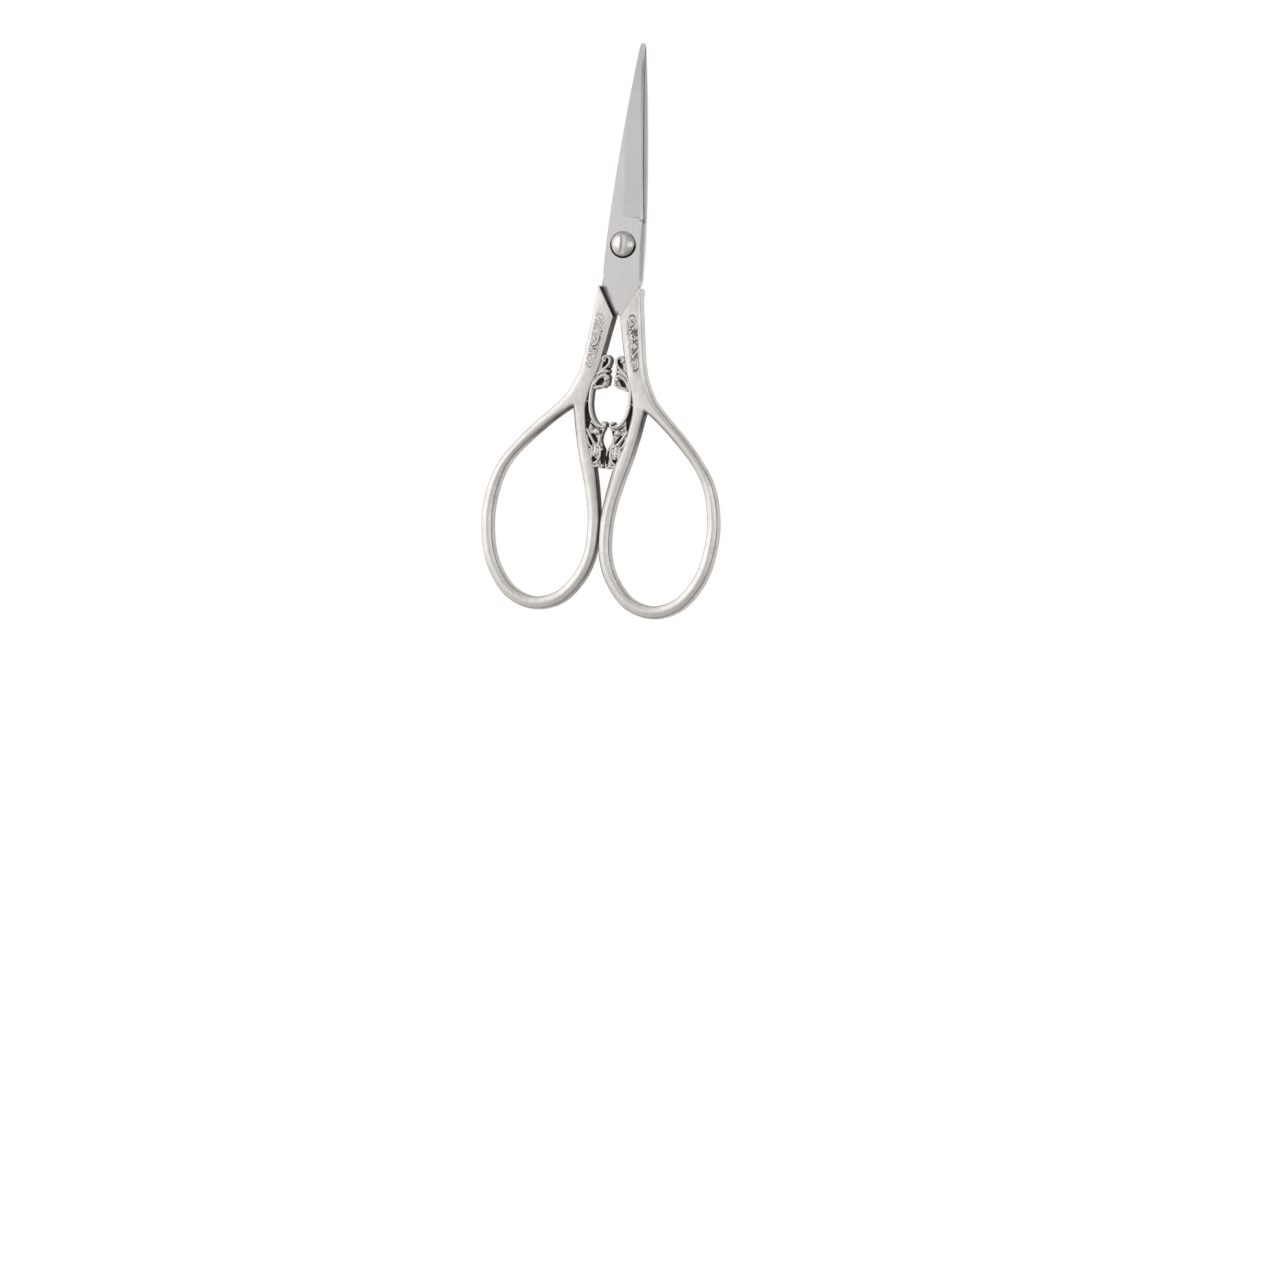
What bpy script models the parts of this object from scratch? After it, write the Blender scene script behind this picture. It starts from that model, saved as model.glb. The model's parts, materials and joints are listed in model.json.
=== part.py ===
"""Embroidery scissors with steel blades and cast scroll handles, modelled closed and lying flat.

The blades point along +Y and the finger bows lie towards -Y. The pivot axis is the Z axis, and the scissors
lie on the plane z = 0. One half is designed here, the front one: its blade is the upper blade, with its back
towards -X, and its finger bow is the right-hand one. The rear half is the same half turned half a turn about
the line that runs along Y at mid thickness. All lengths are in metres.
"""

import math

import bmesh
import bpy
import numpy as np
from mathutils import Vector
from mathutils.geometry import tessellate_polygon

# Heights. Both handles are as thick as the scissors, and each blade lies in its own half of that.
HANDLE_THICKNESS = 0.0030
BLADE_THICKNESS = 0.0012
BLADE_GAP = 0.0001

# Blade in plan. The back is one shallow arc from the pivot's height to the rounded tip. The closed blades sit
# a little over towards +X, so the rear blade's back stands out further than the front one's.
BLADE_REACH = 0.0406
BLADE_HALF_WIDTH = 0.00386
BLADE_BELLY = 0.00042
BLADE_SHIFT = 0.00025
TIP_HALF_WIDTH = 0.00042
TIP_ROUND = 0.0013
TIP_RADIUS = 0.00018
TIP_THICKNESS = 0.0007
EDGE_SETBACK = 0.00028
EDGE_THICKNESS = 0.00022
EDGE_BEVEL = 0.00045
GRIND_DEPTH = 0.00025
GRIND_START = 0.0060
GRIND_RUNOUT = 0.0014
GRIND_SHARE = 0.62
BACK_CHAMFER = 0.00018
FRONT_HEEL_DROP = 0.0065
REAR_HEEL_DROP = 0.0074
HEEL_FLARE = 0.00008
HEEL_BREAK = 0.00018
RICASSO_STEP = 0.00015
RICASSO_FLARE = 0.0002

# Joint between a blade and its own handle: a slanted butt face with a tang that sits in a pocket.
JOINT_TOP = Vector((0.00385, -0.0091))
JOINT_FOOT = Vector((0.00078, -0.0145))
JOINT_GAP = 0.00005
TANG_WIDTH = 0.0015
TANG_THICKNESS = 0.0007
TANG_LENGTH = 0.0075
TANG_LEAN = 0.11
TANG_CLEARANCE = 0.00006
TANG_ROOT = 0.0012
POCKET_REACH = 0.004

# Pivot screw.
SCREW_RADIUS = 0.0012
SCREW_CLEARANCE = 0.00005
HEAD_RADIUS = 0.0024
HEAD_RIM = 0.00034
HEAD_DOME = 0.00076
HEAD_SEAT_GAP = 0.00005
HEAD_BREAK = 0.0001
RECESS_RADIUS = 0.00262
RECESS_DEPTH = 0.00022
SLOT_WIDTH = 0.00078
SLOT_DEPTH = 0.00048
TAIL_CHAMFER = 0.0002

# Shank of the handle, from the shoulder beside the blade down to the crotch of the bow.
SHOULDER_WIDTH = 0.0007
SHOULDER_RISE = 0.0006
CROTCH_DEPTH = 0.0333
SHANK_OUTER = (
    (0.00472, -0.0112), (0.00528, -0.0155), (0.0059, -0.0200), (0.0066, -0.0243), (0.00745, -0.0270),
    (0.00925, -0.0305), (0.0122, -0.03375), (0.0160, -0.03745),
)
SHANK_INNER = ((0.00320, -0.0260), (0.00215, -0.0218), (0.00125, -0.0173))
SHANK_EDGE_ROUND = 0.00032
SHOULDER_EDGE_ROUND = 0.00012
SHOULDER_FADE = 0.0020

# Finger bow. Its hole is a teardrop, given as shares of its own width and length: (0, 0) is level with the
# crotch on the inner side, and (1, 1) is the far lower corner of the box round the hole.
BOW_HOLE_WIDTH = 0.0200
BOW_HOLE_LENGTH = 0.0382
BOW_CENTRE_GAP = 0.0002
BOW_BAR_WIDTH = 0.00235
BOW_TOE_WIDTH = 0.0026
BOW_ARM_WIDTH = 0.0014
BOW_EDGE_ROUND = 0.00078
BOW_ROUND_START = -0.0323
BOW_ROUND_LENGTH = 0.016
BOW_HOLE_SHAPE = (
    (0.280, 0.000), (0.521, 0.105), (0.801, 0.259), (0.941, 0.394), (1.000, 0.575), (0.962, 0.754),
    (0.868, 0.870), (0.718, 0.960), (0.500, 1.000), (0.271, 0.966), (0.103, 0.868), (0.018, 0.758),
    (0.000, 0.630), (0.020, 0.515), (0.076, 0.388), (0.156, 0.243), (0.213, 0.110), (0.246, 0.014),
)
BAR_FROM_POINT = 2
BAR_TO_POINT = 12

# Inner branch of the bow beside the scrollwork, measured down from the crotch.
BRANCH_INNER = (
    (0.00020, -0.0207), (0.00075, -0.0170), (0.00150, -0.0132), (0.00210, -0.0110), (0.00355, -0.0072),
    (0.00445, -0.0034), (0.00492, -0.0002), (0.00478, 0.0020), (0.00425, 0.0044),
)

# Pierced scrollwork between the branches, cast in one with the handle. Its places are measured from the
# centre line and down from the crotch.
SCROLL_CENTRE_GAP = 0.0003
SCROLL_HEIGHT = 0.0026
SCROLL_HALF_WIDTH = 0.00024
RIDGE_RISE = 0.00018
WEB_HEIGHT = 0.0012
HEIGHT_STEP = 0.00002
UPPER_WEB = (
    (0.00090, 0.0108), (0.00020, 0.0098), (0.00000, 0.0088), (0.00000, 0.0051), (0.00110, 0.0045),
    (0.00520, 0.0036), (0.00480, 0.0055), (0.00400, 0.0072), (0.00310, 0.0090), (0.00215, 0.0106),
)
LOWER_WEB = (
    (0.00000, -0.0033), (0.00070, -0.0030), (0.00170, -0.0030), (0.00270, -0.0022), (0.00350, -0.0011),
    (0.00415, 0.0000), (0.00425, -0.0043), (0.00500, -0.0048), (0.00450, -0.0080), (0.00335, -0.0114),
    (0.00000, -0.0114), (0.00000, -0.0077), (0.00060, -0.0070), (0.00090, -0.0059), (0.00085, -0.0047),
    (0.00050, -0.0038),
)
TOP_CURL_CENTRE = (0.00165, 0.0102)
TOP_CURL_RADIUS = 0.00070
TOP_CURL_TURN = 250.0
TOP_CURL_STEM = ((0.00370, 0.0062), (0.00290, 0.0074), (0.00195, 0.0084), (0.00120, 0.0092))
OVAL_CURL_CENTRE = (0.00105, -0.0026)
OVAL_CURL_RADIUS = 0.00050
OVAL_CURL_TURN = 220.0
OVAL_RIM = (
    (0.00330, 0.0072), (0.00365, 0.0055), (0.00395, 0.0037), (0.00406, 0.0019), (0.00398, 0.0005),
    (0.00355, -0.0009), (0.00270, -0.0021), (0.00165, -0.0029),
)
CURL_TAPER = 0.3
CURL_LEAD = 30.0
UPPER_LEAF = ((0.00400, 0.0042), (0.00290, 0.0043), (0.00190, 0.0047), (0.00095, 0.0053))
DROP_LEAF = ((0.00340, 0.0070), (0.00240, 0.0073), (0.00160, 0.0068), (0.00115, 0.0060))
LOWER_SCROLL = (
    (0.00240, -0.0041), (0.00318, -0.0043), (0.00348, -0.0050), (0.00320, -0.0059), (0.00240, -0.00665),
    (0.00145, -0.0072), (0.00050, -0.00775),
)
SIDE_STEM = ((0.00440, -0.0042), (0.00395, -0.0057), (0.00315, -0.0069), (0.00220, -0.0076))
FOOT_SCROLL = (
    (0.00050, -0.0078), (0.00085, -0.0089), (0.00125, -0.0098), (0.00200, -0.0106), (0.00320, -0.0111),
)
FOOT_RAIL = ((0.00040, -0.0110), (0.00150, -0.0112), (0.00280, -0.0112))
# Beads of the scrollwork: place and radius.
BEADS = (
    (0.00115, 0.0060, 0.00050), (0.00095, 0.0053, 0.00040), (0.00235, -0.0043, 0.00058),
    (0.00185, -0.0080, 0.00066), (0.00235, -0.0092, 0.00045), (0.00075, -0.0110, 0.00045),
    (0.00155, -0.0112, 0.00038),
)

# How finely curves are drawn.
CURVE_STEPS = 4
ROUND_STEPS = 2
SCROLL_STEPS = 2
BEAD_SIDES = 10
CURL_STEPS = 8
TURNED_STEPS = 40
SHARP_ANGLE = 32.0

MID_HEIGHT = HANDLE_THICKNESS / 2
BLADE_INNER = MID_HEIGHT + BLADE_GAP / 2
BLADE_OUTER = BLADE_INNER + BLADE_THICKNESS


def clear_scene():
    for obj in list(bpy.data.objects):
        bpy.data.objects.remove(obj, do_unlink=True)


def make_material(name, colour, metallic, roughness):
    material = bpy.data.materials.new(name)
    material.use_nodes = True
    shader = material.node_tree.nodes["Principled BSDF"]
    shader.inputs["Base Color"].default_value = (*colour, 1.0)
    shader.inputs["Metallic"].default_value = metallic
    shader.inputs["Roughness"].default_value = roughness
    return material


def smooth_curve(points, steps=CURVE_STEPS, closed=False):
    """Points along the smooth curve through the given ones, each span drawn as a cubic."""
    points = np.asarray([tuple(p) for p in points], dtype=float)
    if closed:
        padded = np.vstack([points[-1:], points, points[:2]])
    else:
        padded = np.vstack([2 * points[0] - points[1], points, 2 * points[-1] - points[-2]])
    t = np.linspace(0.0, 1.0, steps, endpoint=False)[:, None]
    spans = []
    for before, start, end, after in zip(padded[:-3], padded[1:-2], padded[2:-1], padded[3:]):
        spans.append(
            0.5 * (2 * start + (end - before) * t + (2 * before - 5 * start + 4 * end - after) * t**2
                   + (3 * start - before - 3 * end + after) * t**3)
        )
    curve = np.vstack(spans)
    return curve if closed else np.vstack([curve, points[-1:]])


def loop_normals(loop):
    """The unit normal of a closed loop at each of its points, to the left of its direction."""
    before = loop - np.roll(loop, 1, axis=0)
    after = np.roll(loop, -1, axis=0) - loop
    before /= np.linalg.norm(before, axis=1)[:, None]
    after /= np.linalg.norm(after, axis=1)[:, None]
    along = before + after
    along /= np.linalg.norm(along, axis=1)[:, None]
    return np.column_stack([-along[:, 1], along[:, 0]])


def area_of(loop):
    return 0.5 * np.sum(loop[:, 0] * np.roll(loop[:, 1], -1) - np.roll(loop[:, 0], -1) * loop[:, 1])


def counter_clockwise(loop):
    return loop if area_of(loop) > 0 else loop[::-1]


def mesh_object(name, vertices, faces, material=None):
    mesh = bpy.data.meshes.new(name)
    mesh.from_pydata([tuple(v) for v in vertices], [], [tuple(f) for f in faces])
    mesh.validate()
    tidy = bmesh.new()
    tidy.from_mesh(mesh)
    bmesh.ops.recalc_face_normals(tidy, faces=tidy.faces)
    tidy.to_mesh(mesh)
    tidy.free()
    obj = bpy.data.objects.new(name, mesh)
    bpy.context.scene.collection.objects.link(obj)
    if material is not None:
        mesh.materials.append(material)
    return obj


def plate(name, outline, holes, low, high, rounding, material=None):
    """A flat plate with rounded rims: rounding(points) gives the radius of the rim at each point."""
    loops = [counter_clockwise(np.asarray(outline))] + [counter_clockwise(np.asarray(h))[::-1] for h in holes]
    middle = (low + high) / 2
    vertices = []
    faces = []
    caps = {1: [], -1: []}
    for loop in loops:
        inward = loop_normals(loop)
        radius = np.minimum(rounding(loop), (high - low) / 2)[:, None]
        rows = []
        for side in (-1, 1):
            for turn in np.radians(np.linspace(0.0, 90.0, ROUND_STEPS + 1)[::side]):
                plan = loop + inward * radius * (1 - math.cos(turn))
                rise = (high - low) / 2 - radius * (1 - math.sin(turn))
                rows.append(np.column_stack([plan, middle + side * rise]))
        first = len(vertices)
        count = len(loop)
        vertices.extend(np.vstack(rows))
        for row in range(len(rows) - 1):
            for k in range(count):
                a = first + row * count + k
                b = first + row * count + (k + 1) % count
                faces.append((a, b, b + count, a + count))
        caps[-1].append([first + k for k in range(count)])
        caps[1].append([first + (len(rows) - 1) * count + k for k in range(count)])
    for rings in caps.values():
        flat = [index for ring in rings for index in ring]
        polygons = [[Vector((*vertices[index][:2], 0.0)) for index in ring] for ring in rings]
        faces.extend(tuple(flat[k] for k in triangle) for triangle in tessellate_polygon(polygons))
    return mesh_object(name, vertices, faces, material)


def prism(name, corners, low, high, material=None):
    """A straight solid over a closed outline."""
    flat = [(c[0], c[1]) for c in corners]
    count = len(flat)
    vertices = [(x, y, z) for z in (low, high) for x, y in flat]
    faces = [(k, (k + 1) % count, count + (k + 1) % count, count + k) for k in range(count)]
    for triangle in tessellate_polygon([[Vector((x, y, 0.0)) for x, y in flat]]):
        faces += [tuple(triangle), tuple(count + k for k in triangle)]
    return mesh_object(name, vertices, faces, material)


def lofted(sections):
    """The vertices and faces of a closed tube through equal rings of points, with flat ends."""
    sides = len(sections[0])
    vertices = [point for section in sections for point in section]
    faces = [tuple(range(sides)), tuple(range(len(vertices) - sides, len(vertices)))]
    for row in range(len(sections) - 1):
        for k in range(sides):
            a = row * sides + k
            b = row * sides + (k + 1) % sides
            faces.append((a, b, b + sides, a + sides))
    return vertices, faces


def ribbon(name, path, half_width, height):
    """A scroll stroke: a strip on edge along the path, with a ridge along its top and its underside."""
    path = np.asarray(path)
    along = np.gradient(path, axis=0)
    along /= np.linalg.norm(along, axis=1)[:, None]
    across = np.column_stack([-along[:, 1], along[:, 0]])
    half = height / 2
    shoulder = half - RIDGE_RISE
    section = ((-1, -shoulder), (0, -half), (1, -shoulder), (1, shoulder), (0, half), (-1, shoulder))
    rings = []
    for point, side in zip(path, across):
        rings.append([(*(point + side * half_width * share), MID_HEIGHT + rise) for share, rise in section])
    return mesh_object(name, *lofted(rings))


def bead(name, centre, radius, height):
    """A round pin with domed ends, standing through the scrollwork."""
    half = height / 2
    rings = []
    for share, rise in ((0.55, -half), (1.0, -half + 0.5 * radius), (1.0, half - 0.5 * radius), (0.55, half)):
        turns = [2 * math.pi * k / BEAD_SIDES for k in range(BEAD_SIDES)]
        rings.append([(centre[0] + radius * share * math.cos(t), centre[1] + radius * share * math.sin(t),
                       MID_HEIGHT + rise) for t in turns])
    return mesh_object(name, *lofted(rings))


def curl(centre, radius, start, turn):
    """Points of a scroll's eye: from its rim at the start angle it winds in as it turns, in degrees."""
    share = np.linspace(0.0, 1.0, CURL_STEPS)
    angle = np.radians(start + turn * share)
    reach = radius * (1 - CURL_TAPER * share)
    return np.column_stack([centre[0] + reach * np.cos(angle), centre[1] + reach * np.sin(angle)])


def below_crotch(points):
    """Places that are measured from the crotch, turned into places measured from the pivot."""
    return [Vector((x, y - CROTCH_DEPTH)) for x, y in points]


def bow_inner_side():
    return BOW_CENTRE_GAP / 2 + BOW_BAR_WIDTH


def bow_hole():
    inner = bow_inner_side()
    points = [(inner + u * BOW_HOLE_WIDTH, -CROTCH_DEPTH - v * BOW_HOLE_LENGTH) for u, v in BOW_HOLE_SHAPE]
    return smooth_curve(points, closed=True)


def bow_bar_outside():
    """The outside of the bow's bar, from above the far side round the toe to the inner side.

    Where the bar faces up it narrows to the arm's width, and where it faces down it widens to the toe's.
    """
    hole = bow_hole()
    outward = loop_normals(hole)
    if area_of(hole) > 0:
        outward = -outward
    upward = np.clip(outward[:, 1], 0.0, 1.0) ** 1.5
    downward = np.clip(-outward[:, 1], 0.0, 1.0) ** 2
    width = BOW_BAR_WIDTH + (BOW_TOE_WIDTH - BOW_BAR_WIDTH) * downward
    width = width + (BOW_ARM_WIDTH - BOW_BAR_WIDTH) * upward
    outside = hole + outward * width[:, None]
    return outside[BAR_FROM_POINT * CURVE_STEPS: BAR_TO_POINT * CURVE_STEPS + 1]


def shoulder_points():
    """The rounded top of the handle beside the blade, from the butt joint to the outer edge."""
    left, low = JOINT_TOP
    shares = ((0.0, 0.0), (0.10, 0.8), (0.55, 1.0), (1.0, 0.1))
    return [(left + u * SHOULDER_WIDTH, low + v * SHOULDER_RISE) for u, v in shares]


def handle_outline():
    """The outline of the handle without its scrollwork, clockwise from the foot of the butt joint."""
    bar = bow_bar_outside()
    outer = smooth_curve([*shoulder_points(), *SHANK_OUTER, bar[0], bar[CURVE_STEPS]])[: -CURVE_STEPS]
    inner = smooth_curve([bar[-CURVE_STEPS], bar[-1], *below_crotch(BRANCH_INNER), *SHANK_INNER, JOINT_FOOT])
    return np.vstack([outer[:-1], bar[:-1], inner[CURVE_STEPS:]])


def rim_rounding(points):
    """Nearly sharp rims at the shoulder, crisp ones on the shank, and the bow's rounder ones below it."""
    lower = np.clip((BOW_ROUND_START - points[:, 1]) / BOW_ROUND_LENGTH, 0.0, 1.0)
    lower = lower * lower * (3 - 2 * lower)
    upper = np.clip((points[:, 1] - JOINT_TOP.y + SHOULDER_FADE) / SHOULDER_FADE, 0.0, 1.0)
    shank = SHANK_EDGE_ROUND + (SHOULDER_EDGE_ROUND - SHANK_EDGE_ROUND) * upper
    return shank + (BOW_EDGE_ROUND - SHANK_EDGE_ROUND) * lower


def scroll_path(stem, centre, radius, turn):
    """A stem that runs on round its eye."""
    start = math.degrees(math.atan2(stem[-1][1] - centre[1], stem[-1][0] - centre[0]))
    eye = curl(centre, radius, start + math.copysign(CURL_LEAD, turn), turn)
    return np.vstack([smooth_curve([*stem, eye[0]], SCROLL_STEPS)[:-1], eye])


def scrollwork():
    """The strokes, beads and webs of one side's scrollwork, each a solid that overlaps its neighbours."""
    top_eye, oval_eye = below_crotch([TOP_CURL_CENTRE, OVAL_CURL_CENTRE])
    paths = [scroll_path(below_crotch(TOP_CURL_STEM), top_eye, TOP_CURL_RADIUS, -TOP_CURL_TURN),
             scroll_path(below_crotch(OVAL_RIM), oval_eye, OVAL_CURL_RADIUS, -OVAL_CURL_TURN)]
    for stroke in (UPPER_LEAF, DROP_LEAF, LOWER_SCROLL, SIDE_STEM, FOOT_SCROLL, FOOT_RAIL):
        paths.append(smooth_curve(below_crotch(stroke), SCROLL_STEPS))
    shapes = []
    for number, path in enumerate(paths):
        height = SCROLL_HEIGHT - number * HEIGHT_STEP
        shapes.append(ribbon(f"scroll_stroke_{number + 1}", path, SCROLL_HALF_WIDTH, height))
    for number, (x, y, radius) in enumerate(BEADS):
        height = SCROLL_HEIGHT + (number + 1) * HEIGHT_STEP
        shapes.append(bead(f"scroll_bead_{number + 1}", (x, y - CROTCH_DEPTH), radius, height))
    for number, outline in enumerate((UPPER_WEB, LOWER_WEB)):
        corners = [Vector((max(x, SCROLL_CENTRE_GAP / 2), y)) for x, y in below_crotch(outline)]
        half = WEB_HEIGHT / 2 + number * HEIGHT_STEP
        shapes.append(prism(f"scroll_web_{number + 1}", corners, MID_HEIGHT - half, MID_HEIGHT + half))
    return shapes


def tang_frame():
    """The middle of the butt joint and the directions along and across the tang."""
    middle = (JOINT_TOP + JOINT_FOOT) / 2
    along = Vector((TANG_LEAN, -1.0)).normalized()
    across = Vector((-along.y, along.x))
    return middle, along, across


def tang_corners(extra, start):
    middle, along, across = tang_frame()
    half = TANG_WIDTH / 2 + extra
    near = middle + along * start
    far = middle + along * (TANG_LENGTH + extra)
    return [near - across * half, near + across * half, far + across * half, far - across * half]


def blade_half_width(y):
    """Half the width of the closed blades at a height above the pivot, rounded off at the tip."""
    share = np.clip(y / BLADE_REACH, 0.0, 1.0)
    straight = BLADE_HALF_WIDTH + (TIP_HALF_WIDTH - BLADE_HALF_WIDTH) * share
    beyond = np.clip((y - BLADE_REACH) / TIP_ROUND + 1, 0.0, 1.0)
    return (straight + 4 * BLADE_BELLY * share * (1 - share)) * np.sqrt(1 - beyond**2)


def back_and_edge(y, spread):
    """How far the back and the edge lie from the pivot axis, the edge just inside the other blade's back."""
    share = np.clip(y / BLADE_REACH, 0.0, 1.0)
    back = blade_half_width(y) + spread
    edge = blade_half_width(y) - spread - EDGE_SETBACK * (1 - share**4)
    widening = max(0.0, TIP_RADIUS - (back + edge) / 2)
    return back + widening, edge + widening


def blade_steel(name, material, spread):
    """The ground length of the blade, lofted through cross-sections from below the grind to the tip."""
    heights = np.concatenate([np.linspace(GRIND_START - GRIND_RUNOUT, GRIND_START, 4),
                              np.linspace(GRIND_START, BLADE_REACH - TIP_ROUND, 14)[1:],
                              BLADE_REACH - TIP_ROUND * np.array([0.75, 0.5, 0.28, 0.12, 0.03])])
    rings = []
    for y in heights:
        back, edge = back_and_edge(y, spread)
        ground = np.clip((y - GRIND_START + GRIND_RUNOUT) / GRIND_RUNOUT, 0.0, 1.0)
        taper = np.clip((y - GRIND_START) / (BLADE_REACH - GRIND_START), 0.0, 1.0)
        full = BLADE_THICKNESS + (TIP_THICKNESS - BLADE_THICKNESS) * taper
        thin = full + (EDGE_THICKNESS - full) * ground
        worn = full - GRIND_DEPTH * ground * (1 - taper / 2)
        chamfer = min(BACK_CHAMFER, (back + edge) / 6)
        bevel = min(EDGE_BEVEL, (back + edge) / 4)
        line = -back + chamfer + (edge + back - chamfer) * (1 - GRIND_SHARE)
        section = ((-back, 0.0), (-back, full - chamfer), (chamfer - back, full), (line, full),
                   (edge - bevel, worn), (edge, thin), (edge, 0.0))
        rings.append([(x, y, BLADE_INNER + rise) for x, rise in section])
    return mesh_object(name, *lofted(rings), material)


def blade_root_outline(spread, heel_drop):
    """The blade round its pivot and its pointed heel, without the tang."""
    top = GRIND_START - GRIND_RUNOUT / 2
    heel = BLADE_HALF_WIDTH + spread + HEEL_FLARE
    normal = Vector((JOINT_TOP.y - JOINT_FOOT.y, JOINT_FOOT.x - JOINT_TOP.x)).normalized()
    joint_top = JOINT_TOP - normal * JOINT_GAP
    joint_foot = JOINT_FOOT - normal * JOINT_GAP
    ricasso = back_and_edge(GRIND_START, spread)[1] - RICASSO_STEP
    side = [(-back_and_edge(y, spread)[0], y) for y in np.linspace(top, 0.0, 4)]
    corner = [(-heel, -0.9 * heel_drop), (-heel + HEEL_BREAK, -1.04 * heel_drop)]
    return [(ricasso, top), *side, *corner, joint_foot, joint_top, (ricasso + RICASSO_FLARE, 0.0)]


def turned(name, profile, material=None):
    """A closed solid turned about the pivot axis from a profile of (radius, height), low end first."""
    vertices = [(0.0, 0.0, profile[0][1])]
    for radius, height in profile:
        for k in range(TURNED_STEPS):
            angle = 2 * math.pi * k / TURNED_STEPS
            vertices.append((radius * math.cos(angle), radius * math.sin(angle), height))
    vertices.append((0.0, 0.0, profile[-1][1]))
    top = len(vertices) - 1
    faces = []
    for k in range(TURNED_STEPS):
        after = (k + 1) % TURNED_STEPS
        faces.append((0, 1 + after, 1 + k))
        for row in range(len(profile) - 1):
            a = 1 + row * TURNED_STEPS
            faces.append((a + k, a + after, a + TURNED_STEPS + after, a + TURNED_STEPS + k))
        last = 1 + (len(profile) - 1) * TURNED_STEPS
        faces.append((last + k, last + after, top))
    return mesh_object(name, vertices, faces, material)


def combine(obj, helpers):
    """Join helper solids to the object or cut them from it, keep the mesh that results, and shade it."""
    for helper, operation in helpers:
        modifier = obj.modifiers.new(f"{operation.lower()}_{helper.name}", "BOOLEAN")
        modifier.operation = operation
        modifier.solver = "EXACT"
        modifier.object = helper
    bpy.context.view_layer.update()
    graph = bpy.context.evaluated_depsgraph_get()
    mesh = bpy.data.meshes.new_from_object(obj.evaluated_get(graph))
    obj.modifiers.clear()
    obj.data = mesh
    mesh.name = obj.name
    mesh.shade_smooth()
    mesh.set_sharp_from_angle(angle=math.radians(SHARP_ANGLE))
    for helper, _ in helpers:
        bpy.data.objects.remove(helper, do_unlink=True)


def make_blade(name, material, spread, heel_drop, recessed):
    """A blade: ground steel, root with the pivot hole, and tang. A recess takes the head of the screw."""
    blade = blade_steel(name, material, spread)
    root = prism("blade_root", blade_root_outline(spread, heel_drop), BLADE_INNER, BLADE_OUTER)
    tang = prism("blade_tang", tang_corners(0.0, -TANG_ROOT), BLADE_INNER, BLADE_INNER + TANG_THICKNESS)
    hole_radius = SCREW_RADIUS + SCREW_CLEARANCE
    profile = [(hole_radius, 0.0), (hole_radius, HANDLE_THICKNESS)]
    if recessed:
        floor = BLADE_OUTER - RECESS_DEPTH
        profile[1:1] = [(hole_radius, floor), (RECESS_RADIUS, floor)]
        profile[-1] = (RECESS_RADIUS, HANDLE_THICKNESS)
    hole = turned("pivot_hole", profile)
    combine(blade, [(root, "UNION"), (tang, "UNION"), (hole, "DIFFERENCE")])
    return blade


def make_handle(name, material):
    """A handle: shank, finger bow and scrollwork in one casting, with the pocket for the tang."""
    handle = plate(name, handle_outline(), [bow_hole()], 0.0, HANDLE_THICKNESS, rim_rounding, material)
    pocket = prism("tang_pocket", tang_corners(TANG_CLEARANCE, -POCKET_REACH), BLADE_INNER - TANG_CLEARANCE,
                   BLADE_INNER + TANG_THICKNESS + TANG_CLEARANCE)
    combine(handle, [*((shape, "UNION") for shape in scrollwork()), (pocket, "DIFFERENCE")])
    return handle


def make_screw(material):
    """The pivot screw: domed and slotted head, and a shank that ends level with the handles' undersides."""
    seat = BLADE_OUTER - RECESS_DEPTH + HEAD_SEAT_GAP
    rim = seat + HEAD_RIM
    sphere = (HEAD_RADIUS**2 + HEAD_DOME**2) / (2 * HEAD_DOME)
    start = math.asin(HEAD_RADIUS / sphere)
    dome = []
    for share in np.linspace(1.0, 0.1, 5):
        angle = start * share
        dome.append((sphere * math.sin(angle), rim + HEAD_DOME - sphere * (1 - math.cos(angle))))
    profile = [(SCREW_RADIUS - TAIL_CHAMFER, 0.0), (SCREW_RADIUS, TAIL_CHAMFER), (SCREW_RADIUS, seat),
               (HEAD_RADIUS - HEAD_BREAK, seat), (HEAD_RADIUS, seat + HEAD_BREAK), *dome]
    screw = turned("pivot_screw", profile, material)
    top = rim + HEAD_DOME
    half = SLOT_WIDTH / 2
    reach = 1.5 * HEAD_RADIUS
    corners = [(-half, -reach), (half, -reach), (half, reach), (-half, reach)]
    slot = prism("driver_slot", corners, top - SLOT_DEPTH, top + SLOT_DEPTH)
    combine(screw, [(slot, "DIFFERENCE")])
    return screw


def turn_over(obj):
    """Turn a piece half a turn about the line along Y at mid thickness, so that it fits the rear half."""
    obj.location = (0.0, 0.0, HANDLE_THICKNESS)
    obj.rotation_euler = (0.0, math.pi, 0.0)
    return obj


def half_empty(name):
    empty = bpy.data.objects.new(name, None)
    empty.empty_display_size = 0.005
    bpy.context.scene.collection.objects.link(empty)
    return empty


def main():
    clear_scene()
    steel = make_material("brushed_blade_steel", (0.54, 0.54, 0.55), 1.0, 0.34)
    casting = make_material("satin_nickel_casting", (0.66, 0.63, 0.59), 1.0, 0.36)
    screw_metal = make_material("polished_screw", (0.74, 0.72, 0.68), 1.0, 0.22)
    front = half_empty("front_half_on_pivot")
    rear = half_empty("rear_half_on_pivot")
    front_blade = make_blade("front_blade", steel, -BLADE_SHIFT, FRONT_HEEL_DROP, recessed=True)
    rear_blade = turn_over(make_blade("rear_blade", steel, BLADE_SHIFT, REAR_HEEL_DROP, recessed=False))
    front_handle = make_handle("front_handle", casting)
    rear_handle = turn_over(make_handle("rear_handle", casting))
    screw = make_screw(screw_metal)
    for obj in (front_blade, front_handle):
        obj.parent = front
    for obj in (rear_blade, rear_handle, screw):
        obj.parent = rear


main()
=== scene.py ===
"""Embroidery scissors dressed for the camera: satin nickel scroll handles, ground steel blades, domed screw.

The shapes are worked out in millimetres. One half is drawn, the front one, with its blade on top and its
finger bow towards +X. The rear half is the same half turned over about the line along Y at mid thickness.
"""

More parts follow.
